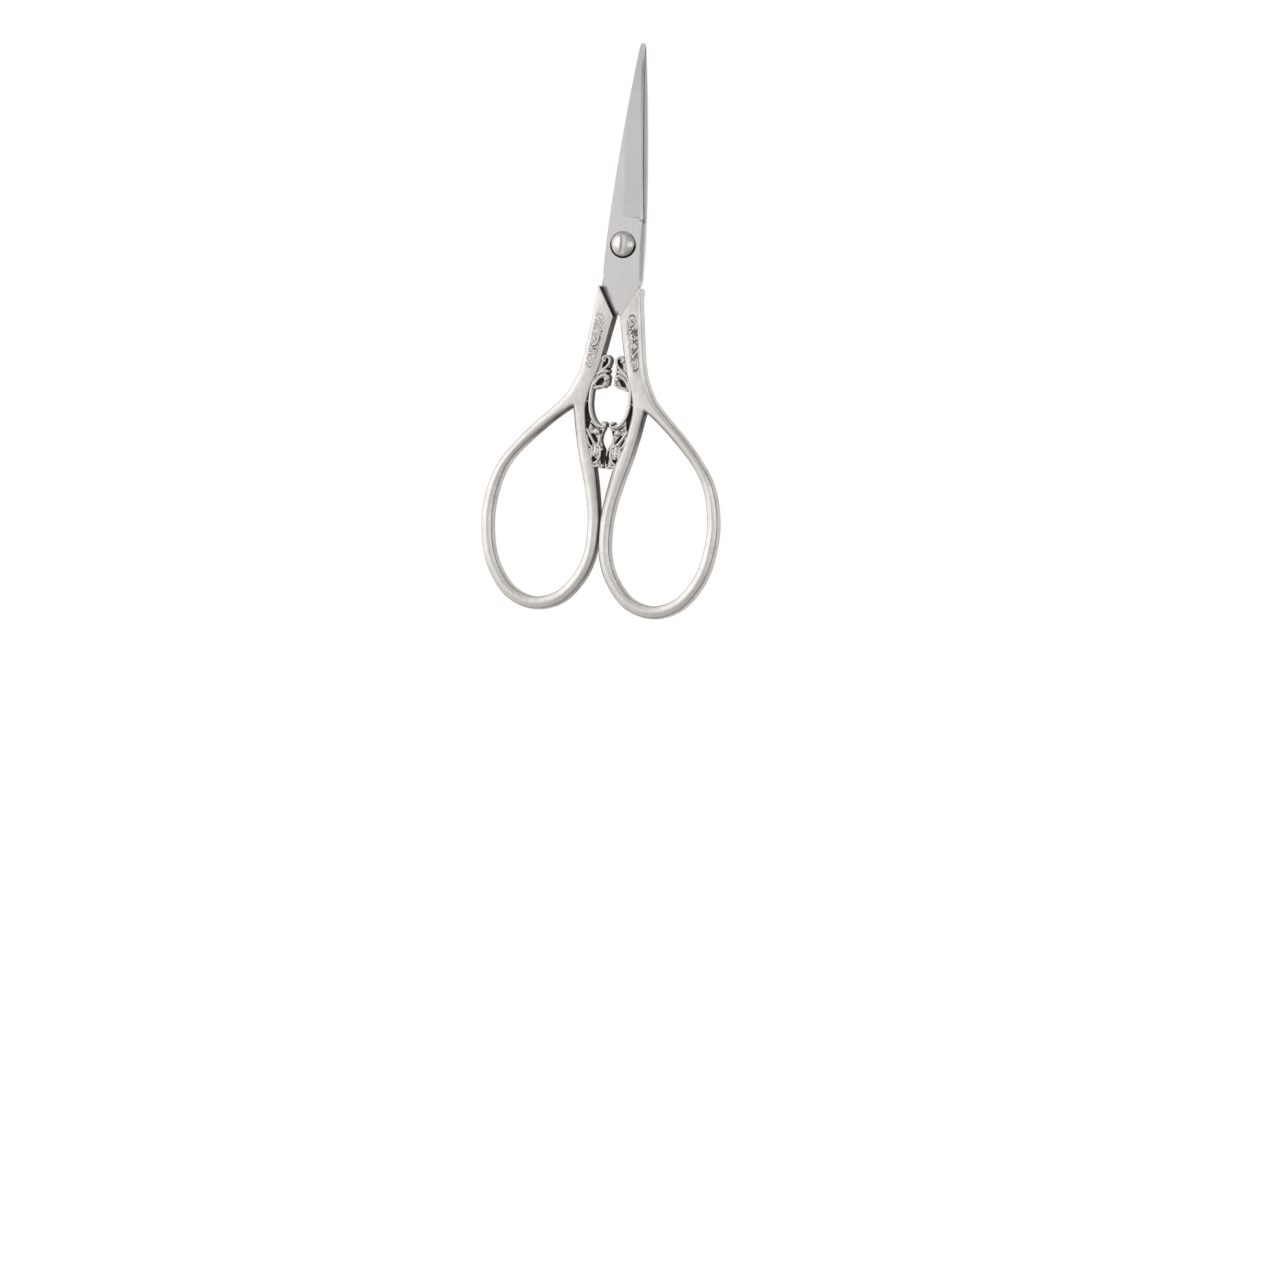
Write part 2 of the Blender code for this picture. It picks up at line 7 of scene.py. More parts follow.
import json
import logging
import math
from dataclasses import dataclass, field
from enum import Enum
from typing import Union

import bmesh
import bpy
import numpy as np
from mathutils import Matrix, Vector
from mathutils.geometry import tessellate_polygon

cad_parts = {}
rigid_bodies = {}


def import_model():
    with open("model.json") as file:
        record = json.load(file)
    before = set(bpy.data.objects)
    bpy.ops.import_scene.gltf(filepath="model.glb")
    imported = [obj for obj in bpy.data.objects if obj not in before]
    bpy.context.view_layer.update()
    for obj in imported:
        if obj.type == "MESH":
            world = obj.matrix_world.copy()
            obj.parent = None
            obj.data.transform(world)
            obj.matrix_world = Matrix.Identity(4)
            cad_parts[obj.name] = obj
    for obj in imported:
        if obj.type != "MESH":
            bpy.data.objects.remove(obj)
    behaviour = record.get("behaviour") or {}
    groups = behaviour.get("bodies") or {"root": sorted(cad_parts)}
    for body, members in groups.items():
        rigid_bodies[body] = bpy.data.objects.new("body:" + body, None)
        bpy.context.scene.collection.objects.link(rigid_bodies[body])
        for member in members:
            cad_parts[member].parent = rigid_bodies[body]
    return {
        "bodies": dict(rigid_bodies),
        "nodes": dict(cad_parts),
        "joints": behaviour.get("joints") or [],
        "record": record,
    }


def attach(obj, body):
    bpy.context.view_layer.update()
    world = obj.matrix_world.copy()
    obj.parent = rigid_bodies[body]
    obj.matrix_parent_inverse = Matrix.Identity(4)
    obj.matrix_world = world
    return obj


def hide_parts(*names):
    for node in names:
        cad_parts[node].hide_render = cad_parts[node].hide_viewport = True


# Metres in a millimetre, the distance at which vertices are joined, and a distance beyond every shape.
MM = 0.001
WELD = 1e-7
FAR = 9.0

# The castings' thickness and middle, and the front blade's inner and outer face.
THICKNESS = 3.0
MIDDLE = THICKNESS / 2
BLADE_LOW = 1.55
BLADE_TOP = 2.75

# The attributes that carry the tints: patina with painted shade on the castings and the screw, and on the
# blades the grind share, with painted shade below 0.
PATINA_AND_SHADE = "patina_and_shade"
GRIND_AND_SHADE = "ground"

WHITE = (1.0, 1.0, 1.0, 1.0)

# The value that noise lies evenly about.
NOISE_MEAN = 0.5

Point = tuple[float, float]
Place = tuple[float, float, float]
Colour = tuple[float, float, float, float]
Rows = tuple[tuple[float, ...], ...]
Number = Union[float, np.ndarray]


class Half(Enum):
    """The two halves of the scissors, each with its body in the frame."""

    FRONT = "front"
    REAR = "rear"

    @property
    def body(self) -> str:
        """The body that the half's pieces ride on."""
        return f"{self.value}_half"

    def place(self, points: np.ndarray) -> np.ndarray:
        """Puts points drawn for the front half in their place: the rear half is turned over about Y.

        Args:
            points: Points in millimetres, drawn for the front half.

        Returns:
            The points where this half has them.
        """
        if self is Half.FRONT:
            return points
        return points * np.array([-1.0, 1.0, -1.0]) + np.array([0.0, 0.0, THICKNESS])


def smooth_curve(points: object, steps: int, closed: bool = False) -> np.ndarray:
    """Carries a smooth curve through given rows, each span a cubic whose end slopes come from its neighbours.

    Args:
        points: Rows of values, the first two being the place in plan.
        steps: How many parts each span is drawn in.
        closed: Whether the last row runs on to the first.

    Returns:
        The rows along the curve.
    """
    rows = np.asarray(points, dtype=float)
    if closed:
        padded = np.vstack([rows[-1:], rows, rows[:2]])
    else:
        padded = np.vstack([2 * rows[0] - rows[1], rows, 2 * rows[-1] - rows[-2]])
    t = np.linspace(0.0, 1.0, steps, endpoint=False)[None, :, None]
    before, start, end, after = (padded[k:len(padded) - 3 + k][:, None, :] for k in range(4))
    spans = 0.5 * (2 * start + (end - before) * t + (2 * before - 5 * start + 4 * end - after) * t**2
                   + (3 * start - before - 3 * end + after) * t**3)
    curve = spans.reshape(-1, rows.shape[1])
    return curve if closed else np.vstack([curve, rows[-1:]])


def loop_area(loop: np.ndarray) -> float:
    """The area in a closed loop, positive where it runs counter-clockwise."""
    x, y = loop[:, 0], loop[:, 1]
    return float(0.5 * np.sum(x * np.roll(y, -1) - np.roll(x, -1) * y))


def left_normals(loop: np.ndarray) -> np.ndarray:
    """The unit normals of a closed loop, to the left of its direction, from the mean of its edges there.

    Args:
        loop: Points of the loop in plan.

    Returns:
        A unit normal for each point.
    """
    before = loop - np.roll(loop, 1, axis=0)
    after = np.roll(loop, -1, axis=0) - loop
    before = before / np.linalg.norm(before, axis=1)[:, None]
    after = after / np.linalg.norm(after, axis=1)[:, None]
    along = before + after
    along = along / np.linalg.norm(along, axis=1)[:, None]
    return np.column_stack([-along[:, 1], along[:, 0]])


def curl(centre: Point, radii: Point, start: float, turn: float, steps: int = 28) -> np.ndarray:
    """A spiral eye: its radius goes evenly from the first to the second while its angle turns.

    Args:
        centre: Middle of the eye in plan.
        radii: Outer and inner radius.
        start: Angle where it starts, in degrees.
        turn: How far it turns, in degrees, positive counter-clockwise.
        steps: How many points it has.

    Returns:
        Points in plan.
    """
    share = np.linspace(0.0, 1.0, steps)
    angle = np.radians(start + turn * share)
    reach = radii[0] + (radii[1] - radii[0]) * share
    return np.column_stack([centre[0] + reach * np.cos(angle), centre[1] + reach * np.sin(angle)])


def fade(value: Number, low: float, high: float) -> Number:
    """Goes smoothly from 0 at the low value to 1 at the high one, as three squares less two cubes."""
    share = np.clip((value - low) / (high - low), 0.0, 1.0)
    return share * share * (3 - 2 * share)


def bell(gap: np.ndarray, reach: float) -> np.ndarray:
    """A bell curve: 1 up to a rim, and falling off over the reach as the gap beyond it grows."""
    return np.exp(-(np.clip(gap, 0.0, None) / reach) ** 2)


def round_angles(count: int) -> np.ndarray:
    """Angles once round a circle, as one row."""
    return np.linspace(0.0, 2 * math.pi, count, endpoint=False)[None, :]


def ruled(first: tuple[Point, ...], second: tuple[Point, ...], along: int, across: int) -> np.ndarray:
    """A grid in plan whose rows go straight from one curve to another.

    Args:
        first: Points of the first curve.
        second: Points of the second curve, as many.
        along: How many parts each span of the curves is drawn in.
        across: How many points each row has.

    Returns:
        Array of rows, columns and two coordinates.
    """
    start = smooth_curve(first, along)[:, None, :]
    end = smooth_curve(second, along)[:, None, :]
    return start + (end - start) * np.linspace(0.0, 1.0, across)[None, :, None]


@dataclass
class Skin:
    """The surface of one piece as it grows: places in millimetres, faces, and one tint for each vertex."""

    places: list[np.ndarray] = field(default_factory=list)
    faces: list[list[int]] = field(default_factory=list)
    tints: list[np.ndarray] = field(default_factory=list)
    count: int = 0

    def grid(self, points: np.ndarray, tint: Number = 0.0, around: bool = True) -> np.ndarray:
        """Adds a surface over a grid of points: each four neighbours make a face.

        Args:
            points: Array of rows, columns and three coordinates.
            tint: Patina, painted shade or grind share, for all or for each point.
            around: Whether the last column runs on to the first.

        Returns:
            The vertex numbers of the grid.
        """
        rows, columns = points.shape[:2]
        index = self.count + np.arange(rows * columns).reshape(rows, columns)
        self.places.append(points.reshape(-1, 3))
        self.tints.append(np.broadcast_to(tint, (rows, columns)).reshape(-1))
        self.count += rows * columns
        right = np.roll(index, -1, axis=1) if around else index[:, 1:]
        left = index if around else index[:, :-1]
        quads = np.stack([left[:-1], right[:-1], right[1:], left[1:]], axis=-1)
        self.faces.extend(quads.reshape(-1, 4).tolist())
        return index

    def cap(self, rings: list[np.ndarray]) -> None:
        """Closes the flat region between the first ring and the holes in it with triangles.

        Args:
            rings: Vertex numbers of each closed ring.
        """
        everything = np.vstack(self.places)
        flat = np.concatenate(rings)
        polygons = [[Vector((x, y, 0.0)) for x, y in everything[ring][:, :2].tolist()] for ring in rings]
        self.faces.extend([int(flat[k]) for k in triangle] for triangle in tessellate_polygon(polygons))

    def lid(self, *rings: np.ndarray) -> None:
        """Closes small rings with one face each."""
        self.faces.extend(ring.tolist() for ring in rings)

    def piece(self, name: str, half: Half, material: bpy.types.Material, tint_name: str,
              crease: float) -> bpy.types.Object:
        """Makes the finished piece.

        Args:
            name: Name of the object.
            half: Half of the scissors it belongs to.
            material: Its finish.
            tint_name: Name of the attribute that carries the tints.
            crease: Angle in degrees past which an edge is crisp.

        Returns:
            The object, at the origin and outward facing.
        """
        mesh = bpy.data.meshes.new(name)
        mesh.from_pydata((half.place(np.vstack(self.places)) * MM).tolist(), [], self.faces)
        mesh.validate()
        layer = mesh.attributes.new(tint_name, "FLOAT", "POINT")
        layer.data.foreach_set("value", np.concatenate(self.tints).astype(np.float32))
        shape = bmesh.new()
        shape.from_mesh(mesh)
        bmesh.ops.remove_doubles(shape, verts=shape.verts, dist=WELD)
        bmesh.ops.recalc_face_normals(shape, faces=shape.faces)
        shape.to_mesh(mesh)
        shape.free()
        mesh.materials.append(material)
        mesh.shade_smooth()
        mesh.set_sharp_from_angle(angle=math.radians(crease))
        obj = bpy.data.objects.new(name, mesh)
        bpy.context.scene.collection.objects.link(obj)
        return obj


class Wire:
    """A shader socket with arithmetic on it."""

    def __init__(self, tree: bpy.types.NodeTree, socket: bpy.types.NodeSocket) -> None:
        """Keeps the tree and the socket."""
        self.tree = tree
        self.socket = socket

    def math(self, operation: str, other: Union["Wire", float], flipped: bool = False) -> "Wire":
        """Joins this socket and another value in one sum.

        Args:
            operation: Name of the sum.
            other: Second value.
            flipped: Whether the other value comes first.

        Returns:
            The result.
        """
        node = self.tree.nodes.new("ShaderNodeMath")
        node.operation = operation
        pair = (other, self) if flipped else (self, other)
        for socket, value in zip(node.inputs, pair):
            if isinstance(value, Wire):
                self.tree.links.new(value.socket, socket)
            else:
                socket.default_value = value
        return Wire(self.tree, node.outputs[0])

    def __add__(self, other: Union["Wire", float]) -> "Wire":
        """This plus the other."""
        return self.math("ADD", other)

    def __radd__(self, other: float) -> "Wire":
        """The other plus this."""
        return self.math("ADD", other, True)

    def __sub__(self, other: Union["Wire", float]) -> "Wire":
        """This less the other."""
        return self.math("SUBTRACT", other)

    def __rsub__(self, other: float) -> "Wire":
        """The other less this."""
        return self.math("SUBTRACT", other, True)

    def __mul__(self, other: Union["Wire", float]) -> "Wire":
        """This times the other."""
        return self.math("MULTIPLY", other)

    def __rmul__(self, other: float) -> "Wire":
        """The other times this."""
        return self.math("MULTIPLY", other, True)

    def clamped(self) -> "Wire":
        """This kept between 0 and 1."""
        return self.math("MINIMUM", 1.0).math("MAXIMUM", 0.0)


class ShaderSheet:
    """A node tree that is filled in one node at a time, for a material or for the world."""

    def __init__(self, owner: Union[bpy.types.Material, bpy.types.World]) -> None:
        """Switches the owner's nodes on and keeps its tree.

        Args:
            owner: The material or world that the nodes are for.
        """
        owner.use_nodes = True
        self.owner = owner
        self.tree = owner.node_tree

    @classmethod
    def material(cls, name: str) -> "ShaderSheet":
        """A sheet for a new material."""
        return cls(bpy.data.materials.new(name))

    def fill(self, node: bpy.types.Node, inputs: dict) -> None:
        """Sets or links a node's inputs.

        Args:
            node: The node.
            inputs: Values by socket name or number.
        """
        for key, value in inputs.items():
            socket = node.inputs[key]
            if isinstance(value, Wire):
                self.tree.links.new(value.socket, socket)
            else:
                socket.default_value = value

    def node(self, kind: str, output: Union[int, str] = 0, settings: dict | None = None,
             inputs: dict | None = None) -> Wire:
        """Adds a node.

        Args:
            kind: Node type without its common start.
            output: Output that is wanted.
            settings: Plain settings of the node.
            inputs: Values by socket name or number.

        Returns:
            The wanted output.
        """
        node = self.tree.nodes.new(f"ShaderNode{kind}")
        for key, value in (settings or {}).items():
            setattr(node, key, value)
        self.fill(node, inputs or {})
        return Wire(self.tree, node.outputs[output])

    def noise(self, scale: Place, detail: float = 2.0, turned: float = 0.0) -> Wire:
        """Cloudy noise on object coordinates.

        Args:
            scale: Cells per metre along the three axes.
            detail: How many finer layers it has.
            turned: Turn about Z in degrees before the noise is stretched.

        Returns:
            The noise value, which lies evenly about NOISE_MEAN.
        """
        place = self.node("TexCoord", "Object")
        spun = self.node("Mapping", inputs={"Vector": place, "Rotation": (0.0, 0.0, math.radians(turned))})
        spread = self.node("Mapping", inputs={"Vector": spun, "Scale": scale})
        return self.node("TexNoise", inputs={"Vector": spread, "Scale": 1.0, "Detail": detail})

    def blend(self, share: Wire, first: object, second: object) -> Wire:
        """A colour that goes from the first to the second as the share goes from 0 to 1."""
        return self.node("Mix", 2, {"data_type": "RGBA"}, {0: share.clamped(), 6: first, 7: second})

    def bump(self, height: Wire, distance: float) -> Wire:
        """A surface normal that follows a height."""
        return self.node("Bump", inputs={"Height": height, "Distance": distance})

    def mix(self, share: Wire, first: Wire, second: Wire, output: str) -> None:
        """Mixes two shaders by a share and links the mix to the named output."""
        mixed = self.node("MixShader", inputs={0: share, 1: first, 2: second})
        self.tree.links.new(mixed.socket, self.tree.nodes[output].inputs["Surface"])

    def finish(self, inputs: dict) -> bpy.types.Material:
        """Sets the inputs of the material's surface and hands the material back."""
        self.fill(self.tree.nodes["Principled BSDF"], inputs)
        return self.owner


@dataclass(frozen=True)
class SatinNickel:
    """Satin nickel plate on a casting, with dark patina in its recesses and painted shade on its walls."""

    name: str = "satin_nickel_plate"
    clean: Colour = (0.73, 0.705, 0.675, 1.0)
    worn: Colour = (0.67, 0.64, 0.61, 1.0)
    patina_and_shade: Colour = (0.100, 0.073, 0.055, 1.0)
    roughness: float = 0.31
    specular: float = 0.15
    cloud_cells: Place = (330.0, 330.0, 330.0)
    grain_cells: Place = (5200.0, 5200.0, 5200.0)
    buffing_cells: Place = (9000.0, 420.0, 2400.0)
    buffing_turn: float = 14.0
    wave_cells: Place = (900.0, 700.0, 900.0)

    # How far clouds, and patina with painted shade, show in the colour, the metal, the roughness and the
    # relief.
    patina_and_shade_gain: float = 1.25
    patina_and_shade_clouding: float = 0.9
    cloud_level: float = 0.32
    cloud_gain: float = 2.4
    metal_loss: float = 0.5
    cloud_roughness: float = 0.12
    buffing_roughness: float = 0.10
    patina_and_shade_roughness: float = 0.25
    wave_height: float = 2.4
    grain_height: float = 0.30
    buffing_height: float = 0.22
    relief: float = 0.000018

    def build(self) -> bpy.types.Material:
        """Makes the material: clouded plate, fine buffing lines, cast unevenness, and patina or painted shade
        where tinted.

        Returns:
            The material.
        """
        sheet = ShaderSheet.material(self.name)
        # The attribute carries patina in the recesses and painted shade on the walls alike.
        patina_and_shade = sheet.node("Attribute", "Fac", {"attribute_name": PATINA_AND_SHADE})
        cloud = sheet.noise(self.cloud_cells, detail=3.0)
        grain = sheet.noise(self.grain_cells)
        buffing = sheet.noise(self.buffing_cells, turned=self.buffing_turn)
        waves = sheet.noise(self.wave_cells, detail=1.0)
        unevenness = cloud - NOISE_MEAN
        dark = (patina_and_shade * self.patina_and_shade_gain + unevenness * patina_and_shade * self.patina_and_shade_clouding).clamped()
        plate = sheet.blend((cloud - self.cloud_level) * self.cloud_gain, self.clean, self.worn)
        return sheet.finish({
            "Base Color": sheet.blend(dark, plate, self.patina_and_shade),
            "Metallic": 1.0 - dark * self.metal_loss,
            "Specular IOR Level": self.specular,
            "Roughness": (self.roughness + unevenness * self.cloud_roughness
                          + (buffing - NOISE_MEAN) * self.buffing_roughness + dark * self.patina_and_shade_roughness),
            "Normal": sheet.bump(waves * self.wave_height + grain * self.grain_height
                                 + buffing * self.buffing_height, self.relief),
        })


@dataclass(frozen=True)
class BrushedSteel:
    """Blade steel: brushed along the flat, cut across where its tint is 1, and painted shade where it is
    below 0.
    """

    name: str = "brushed_blade_steel"
    light: Colour = (0.640, 0.620, 0.618, 1.0)
    shade: Colour = (0.560, 0.545, 0.548, 1.0)
    painted_shade: Colour = (0.020, 0.018, 0.017, 1.0)
    roughness: float = 0.32
    along_cells: Place = (8200.0, 150.0, 3000.0)
    along_turn: float = 1.2
    across_cells: Place = (210.0, 4300.0, 1500.0)
    across_turn: float = 5.0
    cloud_cells: Place = (160.0, 90.0, 160.0)

    # How far streaks, clouds and painted shade show in the colour, the metal, the roughness and the relief.
    streak_level: float = 0.35
    streak_gain: float = 1.9
    cloud_gain: float = 0.6
    metal_loss: float = 0.6
    streak_roughness: float = 0.22
    cloud_roughness: float = 0.08
    painted_shade_roughness: float = 0.3
    relief: float = 0.000009

    def build(self) -> bpy.types.Material:
        """Makes the material: streaks along the blade, or across where tinted, and painted shade where below
        0.

        Returns:
            The material.
        """
        sheet = ShaderSheet.material(self.name)
        shade = sheet.node("Attribute", "Fac", {"attribute_name": GRIND_AND_SHADE})
        ground = shade.clamped()
        # Below 0 the tint is painted shade: the gap between the blades, the joint and the screw's recess.
        painted_shade = (shade * -1.0).clamped()
        along = sheet.noise(self.along_cells, detail=3.0, turned=self.along_turn)
        across = sheet.noise(self.across_cells, detail=3.0, turned=self.across_turn)
        unevenness = sheet.noise(self.cloud_cells) - NOISE_MEAN
        streaks = along * (1.0 - ground) + across * ground
        steel = sheet.blend((streaks - self.streak_level) * self.streak_gain + unevenness * self.cloud_gain,
                            self.light, self.shade)
        return sheet.finish({
            "Base Color": sheet.blend(painted_shade, steel, self.painted_shade),
            "Metallic": 1.0 - painted_shade * self.metal_loss,
            "Roughness": (self.roughness + (streaks - NOISE_MEAN) * self.streak_roughness
                          + unevenness * self.cloud_roughness + painted_shade * self.painted_shade_roughness),
            "Normal": sheet.bump(streaks, self.relief),
        })


@dataclass(frozen=True)
class PolishedNickel:
    """Polished nickel of the screw, dulled a little and scratched by the driver."""

    name: str = "polished_screw_nickel"
    clean: Colour = (0.73, 0.71, 0.68, 1.0)
    dull: Colour = (0.62, 0.60, 0.57, 1.0)
    patina_and_shade: Colour = (0.022, 0.018, 0.016, 1.0)
    roughness: float = 0.25
    smear_cells: Place = (700.0, 420.0, 700.0)
    scratch_cells: Place = (9000.0, 700.0, 9000.0)
    scratch_turn: float = 8.0

    # How far smears, scratches and painted shade show in the colour, the metal, the roughness and the relief.
    smear_level: float = 0.42
    smear_gain: float = 3.0
    metal_loss: float = 0.5
    smear_roughness: float = 0.14
    painted_shade_roughness: float = 0.35
    smear_height: float = 1.6
    scratch_height: float = 0.2
    relief: float = 0.00002

    def build(self) -> bpy.types.Material:
        """Makes the material: bright plate with soft smears and painted shade where it is tinted.

        Returns:
            The material.
        """
        sheet = ShaderSheet.material(self.name)
        # The tint is painted shade: in the slot, round the head's rim and on the walls under it.
        painted_shade = sheet.node("Attribute", "Fac", {"attribute_name": PATINA_AND_SHADE})
        smear = sheet.noise(self.smear_cells, detail=3.0)
        scratch = sheet.noise(self.scratch_cells, turned=self.scratch_turn)
        plate = sheet.blend((smear - self.smear_level) * self.smear_gain, self.clean, self.dull)
        return sheet.finish({
            "Base Color": sheet.blend(painted_shade, plate, self.patina_and_shade),
            "Metallic": 1.0 - painted_shade * self.metal_loss,
            "Roughness": (self.roughness + (smear - NOISE_MEAN) * self.smear_roughness
                          + painted_shade * self.painted_shade_roughness),
            "Normal": sheet.bump(smear * self.smear_height + scratch * self.scratch_height, self.relief),
        })


@dataclass(frozen=True)
class Stroke:
    """A drawn stroke: where it runs in plan, its width on each side, and how much its far end narrows."""

    path: tuple[Point, ...]
    half_width: float
    narrowing: float
    power: float = 1.5

    def drawn(self, steps: int) -> tuple[np.ndarray, np.ndarray]:
        """The points along the stroke, and the half width at each: it narrows by a power of the share.

        Args:
            steps: How many parts each span is drawn in.

        Returns:
            The points in plan, and the half width at each.
        """
        line = smooth_curve(self.path, steps)
        share = np.linspace(0.0, 1.0, len(line))
        return line, self.half_width * (1 - self.narrowing * share**self.power)


@dataclass(frozen=True)
class Leaf:
    """A tapered cut: widest a third of the way along, and pointed at both ends."""

    path: tuple[Point, ...]
    half_width: float
    power: float = 0.7
    least: float = 0.02

    def drawn(self, steps: int) -> tuple[np.ndarray, np.ndarray]:
        """The points along the cut, and the half width at each: a sine over a power of the share.

        Args:
            steps: How many parts each span is drawn in.

        Returns:
            The points in plan, and the half width at each.
        """
        line = smooth_curve(self.path, steps)
        share = np.linspace(0.0, 1.0, len(line))
        return line, self.half_width * np.sin(math.pi * share**self.power) + self.least


@dataclass(frozen=True)
class Eye:
    """A stem that runs on round a curl, which starts a lead in degrees past the stem's end."""

    stem: tuple[Point, ...]
    centre: Point
    radii: Point
    turn: float
    half_width: float
    lead: float = 30.0
    narrowing: float = 0.25

    def drawn(self, steps: int) -> tuple[np.ndarray, np.ndarray]:
        """The points along stem and curl, and the half width at each, narrowing to the inside of the curl.

        Args:
            steps: How many parts each span is drawn in.

        Returns:
            The points in plan, and the half width at each.
        """
        start = math.degrees(math.atan2(self.stem[-1][1] - self.centre[1], self.stem[-1][0] - self.centre[0]))
        eye = curl(self.centre, self.radii, start + math.copysign(self.lead, self.turn), self.turn)
        line = np.vstack([smooth_curve([*self.stem, eye[0]], steps)[:-1], eye])
        share = np.linspace(0.0, 1.0, len(line))
        return line, self.half_width * (1 - self.narrowing * share**2)


def make_strokes(*rows: tuple[float, ...]) -> tuple[Stroke, ...]:
    """Strokes from rows of numbers: the places in plan, x and y by turns, then half width and narrowing."""
    return tuple(Stroke(tuple(zip(row[:-2:2], row[1:-2:2])), *row[-2:]) for row in rows)


def make_leaves(*rows: tuple[float, ...]) -> tuple[Leaf, ...]:
    """Leaves from rows of numbers: the places in plan, x and y by turns, then the half width."""
    return tuple(Leaf(tuple(zip(row[:-1:2], row[1:-1:2])), row[-1]) for row in rows)


class Ornament(Enum):
    """The two patterns of cut scrolls, one for each handle, both drawn for the front half's shank."""

    LEAF_VINE = "leaf_vine"
    CURLED_VINE = "curled_vine"

    @property
    def groove_tint(self) -> float:
        """How dark the grooves beside the raised strokes are."""
        return 0.32 if self is Ornament.LEAF_VINE else 0.16

    def raised(self) -> tuple[Stroke, ...]:
        """The strokes that stand up: the vine, its curls and the fine leaves beside it.

        Returns:
            The strokes, drawn for the front half's shank.
        """
        if self is Ornament.LEAF_VINE:
            return make_strokes(
                (2.6, -14.6, 2.9, -14.1, 3.5, -14.0, 3.95, -14.5, 3.6, -15.0, 3.15, -14.8, 0.15, 0.3),
                (2.55, -14.6, 2.7, -15.4, 3.05, -16.0, 3.3, -16.8, 3.85, -17.5, 4.18, -18.4, 4.35, -19.6,
                 4.6, -20.9, 5.0, -22.3, 5.3, -23.3, 5.35, -24.3, 5.05, -25.4, 0.15, 0.2),
                (3.7, -18.9, 3.8, -19.9, 4.15, -20.7, 0.14, 0.5),
                (4.2, -23.6, 4.75, -23.6, 4.95, -23.1, 4.45, -22.8, 4.05, -23.1, 0.14, 0.3),
                (5.33, -24.2, 5.2, -24.9, 4.75, -24.7, 4.6, -24.1, 0.13, 0.4),
                (3.1, -18.6, 3.3, -19.5, 3.15, -20.3, 0.13, 0.4),
                (3.55, -20.9, 3.9, -21.6, 3.8, -22.4, 0.13, 0.4),
                (2.45, -16.2, 2.65, -17.0, 2.55, -17.8, 0.12, 0.4),
                (2.35, -15.3, 2.45, -15.9, 2.75, -16.4, 0.1, 0.5),
                (3.6, -15.9, 3.95, -15.4, 4.2, -15.0, 0.1, 0.5),
                (2.75, -17.4, 2.95, -18.1, 2.95, -18.8, 0.1, 0.5),
                (3.3, -20.3, 3.5, -20.9, 3.5, -21.5, 0.1, 0.5),
                (3.55, -22.0, 3.75, -22.6, 3.8, -23.3, 0.1, 0.5),
                (4.2, -24.0, 4.45, -24.6, 4.5, -25.2, 0.1, 0.5),
                (4.7, -22.9, 4.95, -23.6, 4.9, -24.2, 0.1, 0.5),
            )
        return make_strokes(
            (4.4, -15.3, 4.35, -14.6, 3.75, -14.2, 2.95, -14.4, 2.75, -15.0, 3.2, -15.4, 3.6, -15.0,
             0.17, 0.3),
            (4.55, -15.6, 4.0, -16.1, 3.25, -15.8, 0.16, 0.5),
            (4.7, -16.7, 4.0, -16.5, 3.15, -16.9, 3.0, -17.6, 0.16, 0.4),
            (4.4, -18.9, 3.87, -18.5, 3.35, -18.9, 3.45, -19.7, 3.95, -20.3, 0.15, 0.3),
            (4.75, -19.4, 4.1, -19.7, 3.75, -19.2, 0.15, 0.4),
            (4.9, -21.4, 4.2, -21.6, 3.5, -21.3, 0.15, 0.4),
            (5.3, -22.4, 4.68, -22.0, 3.95, -22.4, 3.95, -23.0, 4.5, -23.2, 4.7, -22.8, 0.17, 0.3),
            (5.4, -23.1, 4.9, -23.8, 4.15, -23.8, 0.16, 0.4),
            (5.55, -24.2, 5.05, -24.8, 4.5, -25.0, 0.16, 0.4),
            (3.25, -15.9, 3.75, -16.6, 3.62, -17.5, 3.3, -18.3, 3.45, -19.2, 3.95, -20.2, 4.25, -20.9,
             4.1, -21.6, 4.02, -22.3, 3.98, -23.1, 4.15, -23.8, 4.55, -24.2, 4.95, -24.1, 0.14, 0.1),
            (3.05, -17.0, 2.75, -17.6, 3.0, -18.2, 0.13, 0.4),
            (4.3, -17.3, 4.55, -17.9, 4.3, -18.4, 0.15, 0.4),
            (4.7, -18.2, 4.95, -18.9, 4.8, -19.6, 0.13, 0.4),
            (3.35, -20.6, 3.2, -21.2, 3.55, -21.9, 0.13, 0.4),
            (5.0, -20.2, 5.2, -21.0, 5.0, -21.6, 0.13, 0.4),
            (2.55, -15.75, 2.85, -16.15, 2.85, -16.65, 0.11, 0.5),
            (3.95, -15.55, 4.3, -15.85, 4.45, -16.3, 0.11, 0.5),
            (3.95, -17.0, 4.35, -16.95, 4.75, -17.25, 0.11, 0.5),
            (2.75, -18.35, 2.95, -18.85, 2.9, -19.35, 0.11, 0.5),
            (3.65, -17.95, 4.0, -18.1, 4.25, -18.4, 0.11, 0.5),
            (3.05, -19.95, 3.3, -20.35, 3.4, -20.85, 0.11, 0.5),
            (4.35, -19.95, 4.65, -20.2, 4.75, -20.65, 0.11, 0.5),
            (3.55, -22.15, 3.65, -22.65, 3.6, -23.15, 0.11, 0.5),
            (4.55, -22.45, 4.95, -22.6, 5.2, -22.85, 0.11, 0.5),
            (3.85, -24.25, 4.15, -24.65, 4.4, -24.75, 0.11, 0.5),
            (4.75, -21.85, 5.1, -21.95, 5.35, -22.15, 0.11, 0.5),
        )

